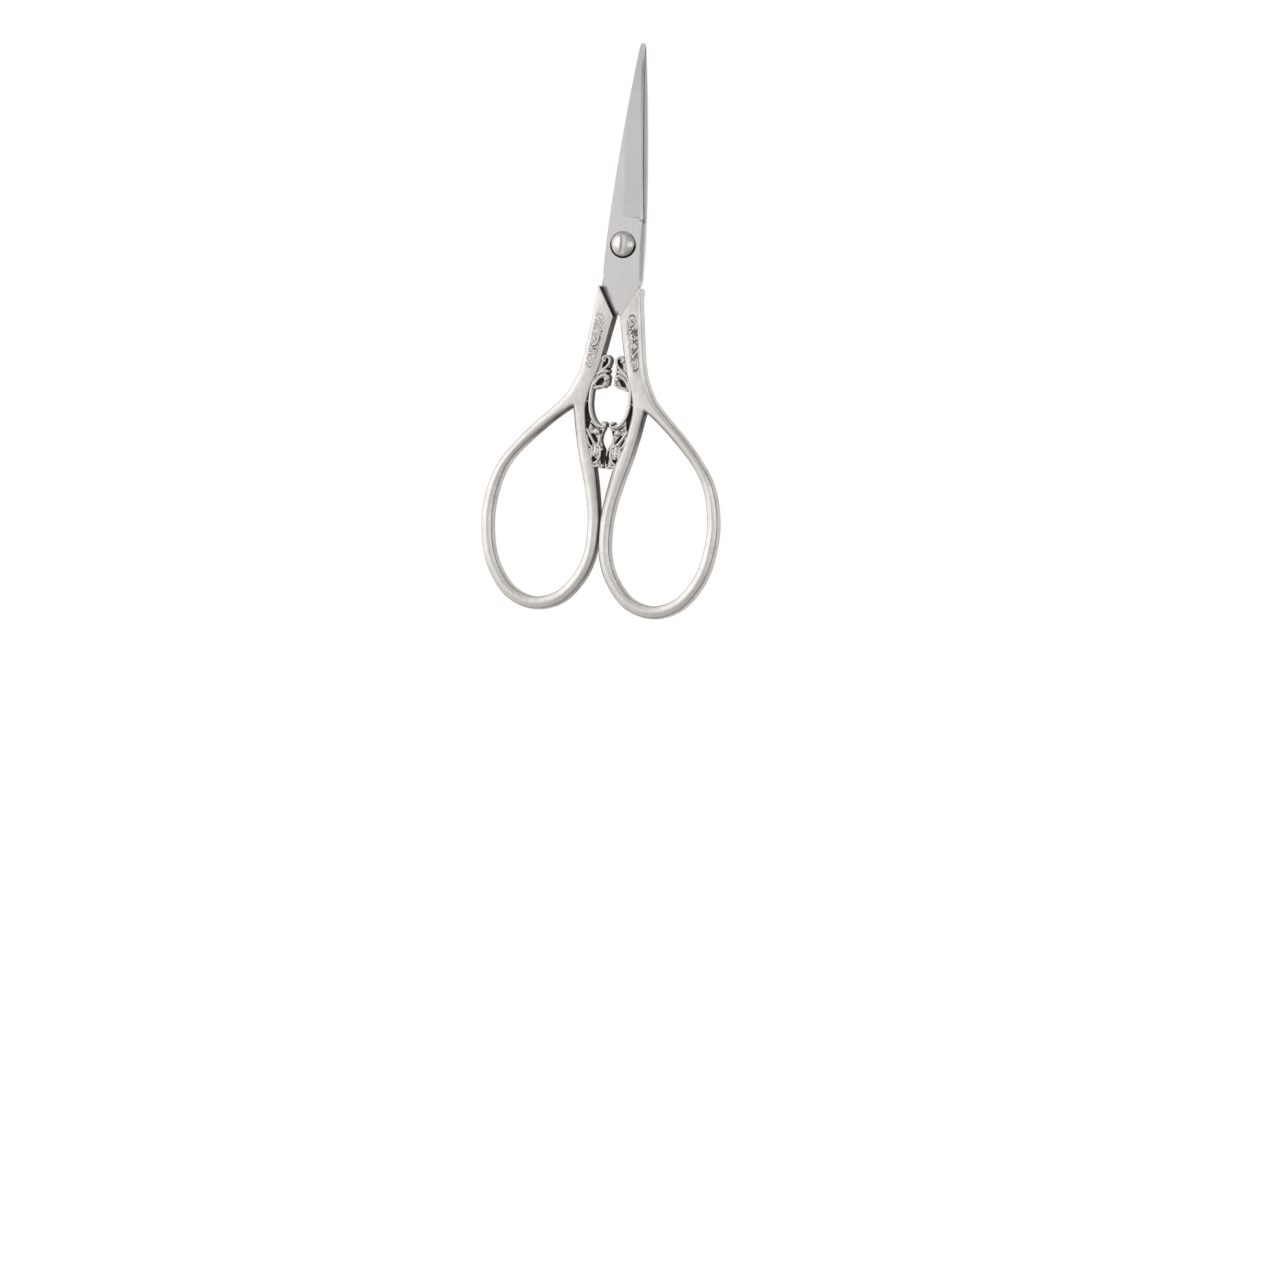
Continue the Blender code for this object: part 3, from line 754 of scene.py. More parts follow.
    def cut(self) -> tuple[Leaf, ...]:
        """The leaves that are cut in.

        Returns:
            The leaves, drawn for the front half's shank.
        """
        if self is Ornament.LEAF_VINE:
            return make_leaves(
                (2.75, -14.3, 3.25, -13.9, 3.8, -14.2, 0.1), (3.08, -15.0, 3.4, -15.3, 3.65, -15.5, 0.09),
                (3.52, -17.3, 3.9, -16.9, 4.15, -16.3, 0.15), (3.95, -17.4, 4.4, -16.9, 4.7, -16.2, 0.14),
                (3.7, -17.8, 4.25, -17.5, 4.75, -16.9, 0.14), (2.98, -17.0, 3.2, -16.8, 3.5, -16.7, 0.11),
                (4.15, -18.0, 4.6, -17.8, 4.95, -17.4, 0.14), (3.6, -18.0, 3.9, -18.3, 4.2, -18.5, 0.13),
                (4.3, -19.0, 4.75, -18.9, 5.15, -18.7, 0.14), (4.6, -19.6, 4.95, -19.5, 5.2, -19.2, 0.13),
                (4.05, -19.5, 4.35, -19.2, 4.5, -18.7, 0.13), (4.2, -21.1, 4.7, -20.7, 5.05, -20.2, 0.16),
                (4.1, -21.7, 4.45, -21.3, 4.7, -20.8, 0.14), (4.42, -22.1, 4.85, -21.8, 5.15, -21.3, 0.14),
                (5.15, -21.1, 5.35, -21.5, 5.45, -21.9, 0.11), (4.29, -22.2, 4.6, -22.4, 4.85, -22.6, 0.11),
                (4.85, -22.0, 5.15, -22.3, 5.4, -22.6, 0.11), (4.65, -25.1, 5.15, -24.8, 5.5, -24.3, 0.13),
                (3.05, -16.4, 3.45, -16.2, 3.9, -15.8, 0.09), (3.2, -17.7, 3.6, -17.4, 3.85, -17.0, 0.11),
                (4.45, -17.5, 4.75, -17.9, 4.85, -18.3, 0.1), (3.85, -18.7, 4.1, -19.2, 4.2, -19.8, 0.1),
                (4.75, -19.7, 4.98, -20.1, 4.95, -20.6, 0.1), (3.8, -20.5, 4.05, -20.9, 4.1, -21.3, 0.09),
                (4.0, -22.5, 4.3, -22.85, 4.65, -22.95, 0.09),
            )
        return make_leaves(
            (3.1, -18.5, 3.15, -19.3, 3.65, -20.2, 0.1), (4.65, -20.8, 3.9, -20.6, 3.2, -20.2, 0.1),
            (4.35, -21.2, 3.95, -21.2, 3.6, -21.0, 0.09), (3.95, -19.0, 3.75, -19.3, 3.8, -19.7, 0.08),
            (2.75, -17.4, 2.9, -17.7, 3.0, -18.0, 0.07),
        )


def nearness(spots: np.ndarray, shapes: tuple[Union[Stroke, Leaf], ...],
             steps: int = 6) -> tuple[np.ndarray, np.ndarray]:
    """How near each spot lies to strokes or leaves.

    Args:
        spots: Places in plan.
        shapes: The strokes or leaves.
        steps: How many parts each span of their lines is drawn in.

    Returns:
        The least distance as a share of the shape's half width, and the least distance beyond its rim.
    """
    inside = np.full(len(spots), FAR)
    beyond = np.full(len(spots), FAR)
    for shape in shapes:
        line, width = shape.drawn(steps)
        start, step = line[:-1], np.diff(line, axis=0)
        reach = spots[:, None, :] - start
        share = np.clip(np.sum(reach * step, axis=2) / np.sum(step * step, axis=1), 0.0, 1.0)
        gap = np.linalg.norm(reach - share[..., None] * step, axis=2)
        wide = width[:-1] + share * np.diff(width)
        inside = np.minimum(inside, np.min(gap / wide, axis=1))
        beyond = np.minimum(beyond, np.min(gap - wide, axis=1))
    return inside, beyond


def rim_of(index: np.ndarray) -> np.ndarray:
    """The vertex numbers round the border of a grid."""
    return np.concatenate([index[0, :-1], index[:-1, -1], index[-1, :0:-1], index[:0:-1, 0]])


@dataclass
class EngravedPanel:
    """The flat of the shank that carries the scrolls, as a grid between its two long sides.

    Margins are shares of its length or of its width.
    """

    ornament: Ornament
    cut_tint: float = 0.62
    inner_side: tuple[Point, ...] = (
        (2.20, -13.3), (1.80, -15.5), (2.08, -18.5), (2.88, -22.5), (3.78, -26.0), (4.28, -27.6),
    )
    outer_side: tuple[Point, ...] = (
        (4.28, -13.3), (4.56, -15.5), (4.94, -18.5), (5.50, -22.5), (6.08, -26.0), (6.40, -27.6),
    )

    # Relief: heights, widths and margins.
    ridge: float = 0.085
    groove: float = 0.04
    groove_width: float = 0.06
    cut_depth: float = 0.13
    burr: float = 0.045
    burr_width: float = 0.08
    end_margins: Point = (0.06, 0.10)
    side_margin: float = 0.08
    crown: float = 0.07
    crown_margin: float = 0.3
    steps_along: int = 64
    steps_across: int = 60

    def shares(self, plan: np.ndarray) -> tuple[np.ndarray, np.ndarray]:
        """How far along the panel each row of its grid lies, and how far across each column."""
        return np.linspace(0.0, 1.0, plan.shape[0])[:, None], np.linspace(0.0, 1.0, plan.shape[1])[None, :]

    def relief(self, plan: np.ndarray) -> tuple[np.ndarray, np.ndarray]:
        """The height of the scrolls over the flat, and their patina.

        Inside a raised stroke the height is the ridge times the square root of one less the square of the
        distance over the half width, and beside it the surface sinks by the groove times a bell curve. A cut
        sinks by its depth times one less that square, and a low burr stands along its rim. All of it fades
        out towards the panel's border.

        Args:
            plan: The grid in plan.

        Returns:
            The height and the patina at each point.
        """
        spots = plan.reshape(-1, 2)
        inside, beyond = nearness(spots, self.ornament.raised())
        hump = self.ridge * np.sqrt(np.clip(1 - inside**2, 0.0, 1.0))
        groove = bell(beyond, self.groove_width) * (inside > 1)
        inside, beyond = nearness(spots, self.ornament.cut())
        cut = np.clip(1 - inside**2, 0.0, 1.0)
        hump = np.maximum(hump, self.burr * bell(beyond, self.burr_width))
        along, across = self.shares(plan)
        start, end = self.end_margins
        rim = (fade(along, 0.0, start) * fade(1 - along, 0.0, end)
               * fade(across, 0.0, self.side_margin) * fade(1 - across, 0.0, self.side_margin))
        height = np.where(cut > 0, 0.0, hump) - self.groove * groove - self.cut_depth * cut
        patina_and_shade = np.maximum(self.ornament.groove_tint * groove, self.cut_tint * np.sqrt(cut))
        return height.reshape(plan.shape[:2]) * rim, patina_and_shade.reshape(plan.shape[:2]) * rim

    def add(self, skin: Skin, top: bool, raised: bool) -> np.ndarray:
        """Adds the panel to a handle's surface.

        Args:
            skin: The surface.
            top: Whether this is the upper face or the underside, as drawn.
            raised: Whether the scrolls stand up from it, or only the cuts and grooves are there.

        Returns:
            The ring of vertex numbers round the panel.
        """
        plan = ruled(self.inner_side, self.outer_side, self.steps_along, self.steps_across)
        height, patina_and_shade = self.relief(plan)
        along, across = self.shares(plan)
        crown = (self.crown * 4 * across * (1 - across)
                 * fade(along, 0.0, self.crown_margin) * fade(1 - along, 0.0, self.crown_margin))
        height = height + crown if raised else np.minimum(height, 0.0)
        level = THICKNESS + height if top else -height
        return rim_of(skin.grid(np.dstack([plan, level]), patina_and_shade, around=False))


@dataclass
class HandleCasting:
    """A handle: shank and finger bow in one casting, with rounded rims and soft facets that meet at a crest.

    Each row of the outline is x, y, facet width, facet drop, rim radius and how dark the wall is, tarnish and
    painted shade together.
    """

    ornament: Ornament
    lightened: float
    shoulder: Rows = (
        (3.98, -9.02, 0.07, 0.02, 0.06, 0.50), (4.11, -8.60, 0.05, 0.02, 0.05, 0.30),
        (4.34, -8.49, 0.07, 0.03, 0.07, 0.20), (4.59, -9.06, 0.14, 0.06, 0.10, 0.14),
    )
    shank_outer: Rows = (
        (4.72, -11.2, 0.40, 0.18, 0.16, 0.12), (5.28, -15.5, 0.62, 0.27, 0.22, 0.12),
        (5.90, -20.0, 0.68, 0.29, 0.26, 0.12), (6.60, -24.3, 0.80, 0.31, 0.30, 0.14),
        (7.45, -27.0, 1.00, 0.32, 0.34, 0.16), (9.25, -30.5, 1.02, 0.32, 0.40, 0.18),
        (12.20, -33.75, 0.94, 0.31, 0.46, 0.20), (16.00, -37.45, 0.80, 0.30, 0.50, 0.22),
    )
    branch_inner: Rows = (
        (0.20, -54.0, 1.06, 0.30, 0.46, 0.66), (0.75, -50.3, 1.10, 0.30, 0.42, 0.86),
        (1.50, -46.5, 1.06, 0.30, 0.36, 0.88), (2.10, -44.3, 0.94, 0.29, 0.32, 0.82),
        (3.55, -40.5, 0.66, 0.27, 0.28, 0.70), (4.45, -36.7, 0.55, 0.24, 0.26, 0.75),
        (4.92, -33.5, 0.48, 0.21, 0.24, 0.75), (4.78, -31.3, 0.42, 0.19, 0.22, 0.65),
        (4.25, -28.9, 0.38, 0.17, 0.20, 0.55),
    )
    shank_inner: Rows = (
        (3.20, -26.0, 0.36, 0.17, 0.26, 0.62), (2.15, -21.8, 0.34, 0.16, 0.25, 0.70),
        (1.25, -17.3, 0.30, 0.14, 0.22, 0.80), (0.72, -14.5, 0.10, 0.04, 0.07, 0.85),
    )
    hole_corner: Point = (2.45, -33.3)
    hole_size: Point = (19.99, 38.2)
    hole_shape: tuple[Point, ...] = (
        (0.280, 0.000), (0.521, 0.105), (0.801, 0.259), (0.941, 0.394), (1.000, 0.575), (0.962, 0.754),
        (0.868, 0.870), (0.718, 0.960), (0.500, 1.000), (0.271, 0.966), (0.103, 0.868), (0.018, 0.758),
        (0.000, 0.630), (0.020, 0.515), (0.076, 0.388), (0.156, 0.243), (0.213, 0.110), (0.246, 0.014),
    )

    # Width of the bow's bar, and the stretch of the outline that follows it, in hole points.
    bar_width: float = 2.34
    toe_width: float = 2.595
    arm_width: float = 1.40
    toe_power: int = 2
    arm_power: float = 1.5
    bar_points: tuple[int, int] = (2, 12)

    # Rim, facets and crest.
    arc_lines: int = 7
    crest: float = 0.06
    crest_share: float = 0.25
    crest_gap: float = 0.12
    facet_drop: float = 0.31
    rim_radius: float = 0.50
    crotch_facet: Place = (0.62, 0.20, 0.34)
    facet_growth: Place = (0.44, 0.11, 0.16)
    facet_run: float = 0.20

    # Tarnish of the walls with painted shade in it, darkest at the crotch, and the stretch of the inner side
    # where it is lighter.
    crotch_tarnish_and_shade: float = 0.84
    bow_tarnish_and_shade: float = 0.24
    darkening_run: float = 0.32
    bar_tarnish_and_shade: float = 0.46
    bar_shade_fall: float = 0.26
    darkening_reach_least: float = 0.3
    darkening_reach_gain: float = 1.1
    lightened_below: Point = (-31.0, -29.5)
    lightened_above: Point = (22.4, 23.2)
    steps: int = 14
    crease: float = 24.0

    def outward(self, hole: np.ndarray) -> np.ndarray:
        """The unit normals of the finger hole that point into the metal."""
        return left_normals(hole[:, :2]) * (-1.0 if loop_area(hole) > 0 else 1.0)

    def widths(self, outward: np.ndarray) -> np.ndarray:
        """The bar's width: it falls to the arm's where it faces up, and grows to the toe's facing down.

        Args:
            outward: Unit normals of the finger hole that point into the metal.

        Returns:
            The width at each of them.
        """
        upward = np.clip(outward[:, 1], 0.0, 1.0) ** self.arm_power
        downward = np.clip(-outward[:, 1], 0.0, 1.0) ** self.toe_power
        return (self.bar_width + (self.toe_width - self.bar_width) * downward
                + (self.arm_width - self.bar_width) * upward)

    def hole(self) -> np.ndarray:
        """The finger hole's rows, from its shape as shares of its size; the crotch is finer, and darker by
        tarnish and painted shade.

        Returns:
            A row for each point: its place, its facet's width and drop, the rim's radius and the tarnish with
                painted shade.
        """
        shape = np.asarray(self.hole_shape)
        plan = np.asarray(self.hole_corner) + shape * np.asarray(self.hole_size) * np.array([1.0, -1.0])
        away = fade(shape[:, 1], 0.0, self.facet_run)
        facets = [least + growth * away for least, growth in zip(self.crotch_facet, self.facet_growth)]
        clear = fade(shape[:, 1], 0.0, self.darkening_run)
        # Tarnish and painted shade: darkest at the crotch, lighter over the run from it.
        darkening = self.crotch_tarnish_and_shade + (self.bow_tarnish_and_shade - self.crotch_tarnish_and_shade) * clear
        rows = smooth_curve(np.column_stack([plan, *facets, darkening]), self.steps, closed=True)
        rows[:, 2] = np.minimum(rows[:, 2], self.widths(self.outward(rows)) / 2 - self.crest_gap)
        return rows

    def bar(self) -> np.ndarray:
        """The outside of the bow's bar: the hole moved outwards by the bar's width.

        Returns:
            Rows as the hole has them, from the bar's first point to its last.
        """
        hole = self.hole()
        outward = self.outward(hole)
        width = self.widths(outward)
        # Painted shade: walls that face +X as drawn are lighter, those that face -X darker.
        lean = 0.5 + 0.5 * outward[:, 0]
        facets = np.column_stack([width / 2 - self.crest_gap, np.full(len(width), self.facet_drop),
                                  np.full(len(width), self.rim_radius),
                                  self.bar_tarnish_and_shade - self.bar_shade_fall * lean])
        rows = np.column_stack([hole[:, :2] + outward * width[:, None], facets])
        first, last = self.bar_points
        return rows[first * self.steps: last * self.steps + 1]

    def outline(self) -> np.ndarray:
        """The outline's rows, from the shoulder down the outside, round the bow and up the inside.

        Returns:
            Rows as the hole has them.
        """
        bar = self.bar()
        outer = smooth_curve([*self.shoulder, *self.shank_outer, bar[0], bar[self.steps]], self.steps)
        inner = smooth_curve([bar[-self.steps], bar[-1], *self.branch_inner, *self.shank_inner], self.steps)
        # Over this stretch of the inner side the tarnish and painted shade are lightened by a share.
        inner[:, 5] *= 1 - (self.lightened * fade(inner[:, 1], *self.lightened_below)
                            * fade(-inner[:, 1], *self.lightened_above))
        return np.vstack([outer[:-self.steps - 1], bar[:-1], inner[self.steps:]])

    def profile(self, rows: np.ndarray) -> tuple[np.ndarray, np.ndarray]:
        """How far in and how far down from the flat each line of the rim and facet lies.

        The rim is an arc from upright to the facet's slope. The facet is straight, and a short step rounds it
        into the flat at its crest.

        Args:
            rows: Rows of the outline.

        Returns:
            Distances in from the wall and down from the flat, a row for each line.
        """
        wide, drop, radius = rows[:, 2:5].T
        slope = np.arctan2(drop, wide)
        turn = slope + (math.pi / 2 - slope) * np.linspace(1.0, 0.0, self.arc_lines)[:, None]
        arc_in = radius * (1 - np.sin(turn))
        foot = (wide - radius * (1 - np.sin(slope))) * np.tan(slope)
        arc_down = foot + radius * (np.cos(slope) - np.cos(turn))
        crest = np.minimum(self.crest, wide / 3)
        inwards = np.vstack([arc_in, wide - crest, wide, wide + crest])
        down = np.vstack([arc_down, crest * np.tan(slope), self.crest_share * crest * np.tan(slope),
                          np.zeros_like(crest)])
        return inwards, down

    def skin_loop(self, skin: Skin, rows: np.ndarray) -> tuple[np.ndarray, np.ndarray]:
        """Adds the wall, rims and facets along one loop.

        The wall's tarnish and painted shade run in over the rim and fade out there, further in where the wall
        is darker.

        Args:
            skin: The surface.
            rows: Rows of the loop, with the metal to its left.

        Returns:
            The rings of vertex numbers where the lower and the upper flat start.
        """
        inwards, down = self.profile(rows)
        normal = left_normals(rows[:, :2])
        plan = rows[None, :, :2] + normal[None] * inwards[..., None]
        low = np.dstack([plan, down])[::-1]
        high = np.dstack([plan, THICKNESS - down])
        reach = (self.darkening_reach_least + self.darkening_reach_gain * rows[:, 5]) * rows[:, 4]
        upright = np.clip(1 - inwards / reach, 0.0, 1.0) * rows[:, 5]
        index = skin.grid(np.vstack([low, high]), np.vstack([upright[::-1], upright]))
        return index[0], index[-1]

    def build(self, half: Half, material: bpy.types.Material) -> bpy.types.Object:
        """Makes the casting with a cut panel on both faces; only the one that shows stands up.

        Args:
            half: Half of the scissors it belongs to.
            material: Its finish.

        Returns:
            The piece.
        """
        skin = Skin()
        outline, hole = self.outline(), self.hole()
        outline = outline if loop_area(outline) > 0 else outline[::-1]
        hole = hole[::-1] if loop_area(hole) > 0 else hole
        rings = [self.skin_loop(skin, rows) for rows in (outline, hole)]
        panel = EngravedPanel(self.ornament)
        for side, top in enumerate((False, True)):
            ring = panel.add(skin, top, top == (half is Half.FRONT))
            skin.cap([rings[0][side], rings[1][side], ring])
        return skin.piece(f"{half.value}_handle_casting", half, material, PATINA_AND_SHADE, self.crease)


@dataclass(frozen=True)
class Web:
    """The cast ground under the scrolls: ruled from the side that shows to a side inside the casting."""

    shown_side: tuple[Point, ...]
    hidden_side: tuple[Point, ...]
    pockets: tuple[Leaf, ...]
    level: float = 0.96
    depth: float = 0.80
    darkening: float = 0.14
    pocket_rim: Point = (0.62, 1.08)
    wall_share: float = 0.75
    steps_along: int = 9
    steps_across: int = 58

    def add(self, skin: Skin, openness: float) -> None:
        """Adds the web: both faces with their pockets, and the dark wall between them.

        Args:
            skin: The surface.
            openness: Share of the pockets' drawn width that is open.
        """
        plan = ruled(self.shown_side, self.hidden_side, self.steps_along, self.steps_across)
        inside, _ = nearness(plan.reshape(-1, 2), self.pockets)
        cut = 1 - fade(inside / openness, *self.pocket_rim).reshape(plan.shape[:2])
        tint = self.darkening + (1 - self.darkening) * np.sqrt(cut)
        for side in (-1, 1):
            level = MIDDLE + side * (self.level - self.depth * cut)
            index = skin.grid(np.dstack([plan, level]), tint, around=False)
        rim = np.vstack(skin.places)[rim_of(index)]
        rise = rim[:, 2] - MIDDLE
        parts = (-1.0, -self.wall_share, self.wall_share, 1.0)
        walls = [np.column_stack([rim[:, :2], MIDDLE + part * rise]) for part in parts]
        dark_share = tint.reshape(-1)[rim_of(np.arange(tint.size).reshape(tint.shape))]
        full = np.ones_like(dark_share)
        skin.grid(np.stack(walls), np.stack([dark_share, full, full, dark_share]))


@dataclass
class ScrollWork:
    """The pierced scrollwork at the branches of a bow: strokes on edge, beads, and webs with dark pockets."""

    openness: float

    # Sections of strokes and beads.
    height: float = 2.62
    wall_lines: Place = (0.6, 0.0, -0.6)
    roundness: float = 0.8
    end_share: float = 0.04
    arc_lines: int = 13
    dome_lines: int = 9
    dome_turn: float = 86.0
    bead_points: int = 28
    bead_roundness: float = 0.85
    bead_rise: float = 0.14
    bead_full: float = 0.5
    bead_clean: float = 0.9
    clean_depths: Point = (0.84, 1.10)
    steps: int = 8
    crease: float = 40.0

    # Course of the strokes, drawn for the front half.
    eyes: tuple[Eye, ...] = (
        Eye(((3.55, -26.9), (3.92, -28.4), (4.12, -29.9), (4.16, -31.4), (4.05, -32.8), (3.62, -34.4),
             (2.95, -35.6), (2.00, -36.45)), (1.00, -36.10), (0.58, 0.24), -280.0, 0.37),
    )
    strokes: tuple[Stroke, ...] = make_strokes(
        (1.55, -23.25, 1.92, -23.42, 2.2, -23.1, 2.08, -22.68, 1.66, -22.45, 1.15, -22.55, 0.76, -23.07,
         0.82, -23.88, 1.28, -24.58, 1.95, -25.14, 2.8, -25.8, 0.27, 0.0),
        (3.2, -26.3, 2.53, -25.78, 1.82, -25.48, 1.2, -25.42, 0.86, -25.55, 0.38, 0.3),
        (3.7, -28.4, 2.92, -27.17, 2.15, -26.48, 1.45, -26.26, 0.92, -26.48, 0.72, -27.05, 0.31, 0.0),
        (3.6, -29.05, 2.88, -28.78, 2.27, -28.58, 1.64, -28.54, 1.3, -28.28, 0.33, 0.1),
        (4.25, -37.2, 3.7, -38.15, 2.9, -39.4, 2.14, -40.16, 1.5, -40.62, 0.29, 0.0),
        (1.42, -38.5, 1.46, -39.2, 1.62, -40.2, 0.24, 0.0),
        (1.7, -40.1, 1.28, -40.7, 1.12, -41.4, 1.12, -42.5, 1.5, -43.45, 2.3, -44.1, 0.27, 0.0),
        (2.75, -44.2, 2.15, -44.52, 1.5, -44.5, 1.1, -44.15, 0.3, 0.0),
        (1.45, -44.1, 1.05, -44.58, 0.6, -44.68, 0.37, -44.38, 0.58, -44.08, 0.22, 0.0),
        (1.62, -37.95, 2.25, -37.6, 2.95, -37.82, 0.46, 0.1),
        (2.25, -40.45, 2.15, -41.4, 2.25, -42.55, 0.46, 0.1),
        (2.85, -40.8, 2.82, -41.5, 2.6, -42.2, 0.27, 0.3),
        (1.66, -40.95, 1.56, -41.6, 1.72, -42.3, 0.27, 0.3),
        (4.3, -38.3, 3.9, -39.6, 3.3, -40.6, 2.7, -40.75, 0.26, 0.2),
        (3.6, -41.3, 2.95, -42.1, 2.85, -42.7, 3.05, -43.4, 0.26, 0.2),
    )
    # Each bead is its place in plan and its radius.
    beads: tuple[Place, ...] = (
        (1.12, -27.04, 0.55), (0.98, -28.05, 0.34), (2.24, -37.62, 0.84), (2.28, -42.35, 0.44),
        (0.78, -41.12, 0.32), (3.3, -37.05, 0.34), (2.62, -39.92, 0.3), (3.15, -41.25, 0.32),
        (1.5, -43.9, 0.3),
    )
    upper_web: Web = Web(
        (
            (2.3, -22.25), (1.6, -22.25), (1.0, -22.5), (0.64, -23.1), (0.66, -24.0), (0.66, -24.8),
            (0.6, -25.6), (0.6, -26.3), (0.52, -27.1), (0.66, -28.0), (1.3, -28.62), (2.3, -28.9),
            (3.6, -29.2),
        ),
        (
            (2.5, -22.1), (2.62, -22.6), (2.75, -23.1), (2.9, -23.7), (3.05, -24.3), (3.2, -25.0),
            (3.42, -25.6), (3.62, -26.2), (3.85, -26.8), (4.08, -27.4), (4.28, -27.9), (4.5, -28.4),
            (4.65, -28.9),
        ),
        make_leaves(
            (0.95, -22.95, 1.49, -23.84, 2.25, -24.85, 0.54), (2.98, -28.3, 2.25, -27.6, 1.6, -26.8, 0.56),
            (0.4, -24.85, 0.85, -24.95, 1.35, -24.85, 0.24), (0.3, -25.95, 0.8, -25.92, 1.3, -25.9, 0.24),
        ),
    )
    lower_web: Web = Web(
        (
            (4.28, -31.6), (4.1, -33.0), (3.66, -34.4), (2.9, -35.8), (1.9, -36.6), (0.95, -36.8),
            (0.62, -37.0), (0.82, -37.4), (1.05, -38.0), (1.18, -39.1), (0.92, -40.1), (0.22, -40.9),
            (0.12, -42.3), (0.12, -44.6),
        ),
        (
            (5.1, -31.6), (5.2, -33.0), (5.12, -34.4), (5.0, -35.6), (4.9, -36.5), (4.8, -37.2),
            (4.72, -37.8), (4.58, -38.4), (4.4, -39.1), (4.2, -40.0), (3.95, -40.8), (3.65, -41.6),
            (3.25, -42.8), (2.65, -44.6),
        ),
        make_leaves(
            (4.6, -31.8, 4.28, -35.0, 4.1, -37.5, 0.64), (4.0, -38.8, 3.45, -39.75, 2.85, -40.45, 0.36),
            (3.2, -38.15, 2.4, -39.2, 1.8, -39.85, 0.42), (3.6, -36.0, 2.5, -36.88, 1.35, -36.95, 0.16),
            (1.38, -37.2, 1.25, -37.75, 1.5, -38.3, 0.15), (3.5, -40.75, 3.2, -41.25, 2.95, -41.7, 0.26),
            (2.95, -42.85, 2.2, -43.45, 1.4, -43.0, 0.44), (0.25, -39.9, 0.48, -42.4, 0.5, -44.9, 0.55),
        ),
    )

    def tint(self, heights: np.ndarray) -> np.ndarray:
        """Patina by depth: none at the ridges, full just below the webs."""
        return 1.0 - fade(np.abs(heights - MIDDLE), *self.clean_depths)

    def add_stroke(self, skin: Skin, line: np.ndarray, width: np.ndarray) -> None:
        """Adds a stroke: a section with straight sides and round top and underside, carried along the line.

        Near both ends the half width falls off as a quarter circle does, which rounds them.

        Args:
            skin: The surface.
            line: Points in plan.
            width: Half width at each point.
        """
        along = np.gradient(line, axis=0)
        along = along / np.linalg.norm(along, axis=1)[:, None]
        across = np.column_stack([-along[:, 1], along[:, 0]])
        length = np.concatenate([[0.0], np.cumsum(np.linalg.norm(np.diff(line, axis=0), axis=1))])
        ends = np.minimum(np.minimum(length, length[-1] - length) / width, 1.0)
        width = width * np.sqrt(np.clip(1 - (1 - ends) ** 2, self.end_share, 1.0))
        turn = np.linspace(0.0, math.pi, self.arc_lines)
        wall, flat, arc = np.array(self.wall_lines), np.ones(3), np.ones(self.arc_lines)
        side = np.concatenate([np.cos(turn), -flat, -np.cos(turn), flat])
        bow = np.concatenate([np.sin(turn), 0 * flat, -np.sin(turn), 0 * flat])
        lift = np.concatenate([arc, wall, -arc, -wall])
        rise = (lift * (self.height / 2 - self.roundness * width[:, None])
                + self.roundness * bow * width[:, None])
        plan = line[:, None, :] + across[:, None, :] * (side * width[:, None])[..., None]
        index = skin.grid(np.dstack([plan, MIDDLE + rise]), self.tint(MIDDLE + rise))
        skin.lid(index[0], index[-1])

    def add_bead(self, skin: Skin, bead: Place) -> None:
        """Adds a bead: an upright pin whose two ends are domes that stand a little over the strokes.

        Args:
            skin: The surface.
            bead: Place in plan and radius.
        """
        x, y, radius = bead
        turn = round_angles(self.bead_points)
        dome = np.radians(np.linspace(0.0, self.dome_turn, self.dome_lines))
        lean = np.concatenate([-dome[::-1], np.zeros(3), dome])[:, None]
        lift = np.concatenate([-np.ones_like(dome), self.wall_lines[::-1], np.ones_like(dome)])[:, None]
        reach = radius * np.cos(lean) * np.ones_like(turn)
        foot = (self.height / 2 + self.bead_rise * min(radius / self.bead_full, 1.0)
                - self.bead_roundness * radius)
        rise = (lift * foot + self.bead_roundness * radius * np.sin(lean)) * np.ones_like(turn)
        points = np.dstack([x + reach * np.cos(turn), y + reach * np.sin(turn), MIDDLE + rise])
        index = skin.grid(points, self.tint(MIDDLE + rise) * self.bead_clean)
        skin.lid(index[0], index[-1])

    def build(self, half: Half, material: bpy.types.Material) -> bpy.types.Object:
        """Makes the scrollwork of one half.

        Args:
            half: The half of the scissors that it is on.
            material: Its finish.

        Returns:
            The finished piece.
        """
        skin = Skin()
        for stroke in (*self.eyes, *self.strokes):
            self.add_stroke(skin, *stroke.drawn(self.steps))
        for bead in self.beads:
            self.add_bead(skin, bead)
        for web in (self.upper_web, self.lower_web):
            web.add(skin, self.openness)
        return skin.piece(f"{half.value}_scrollwork", half, material, PATINA_AND_SHADE, self.crease)


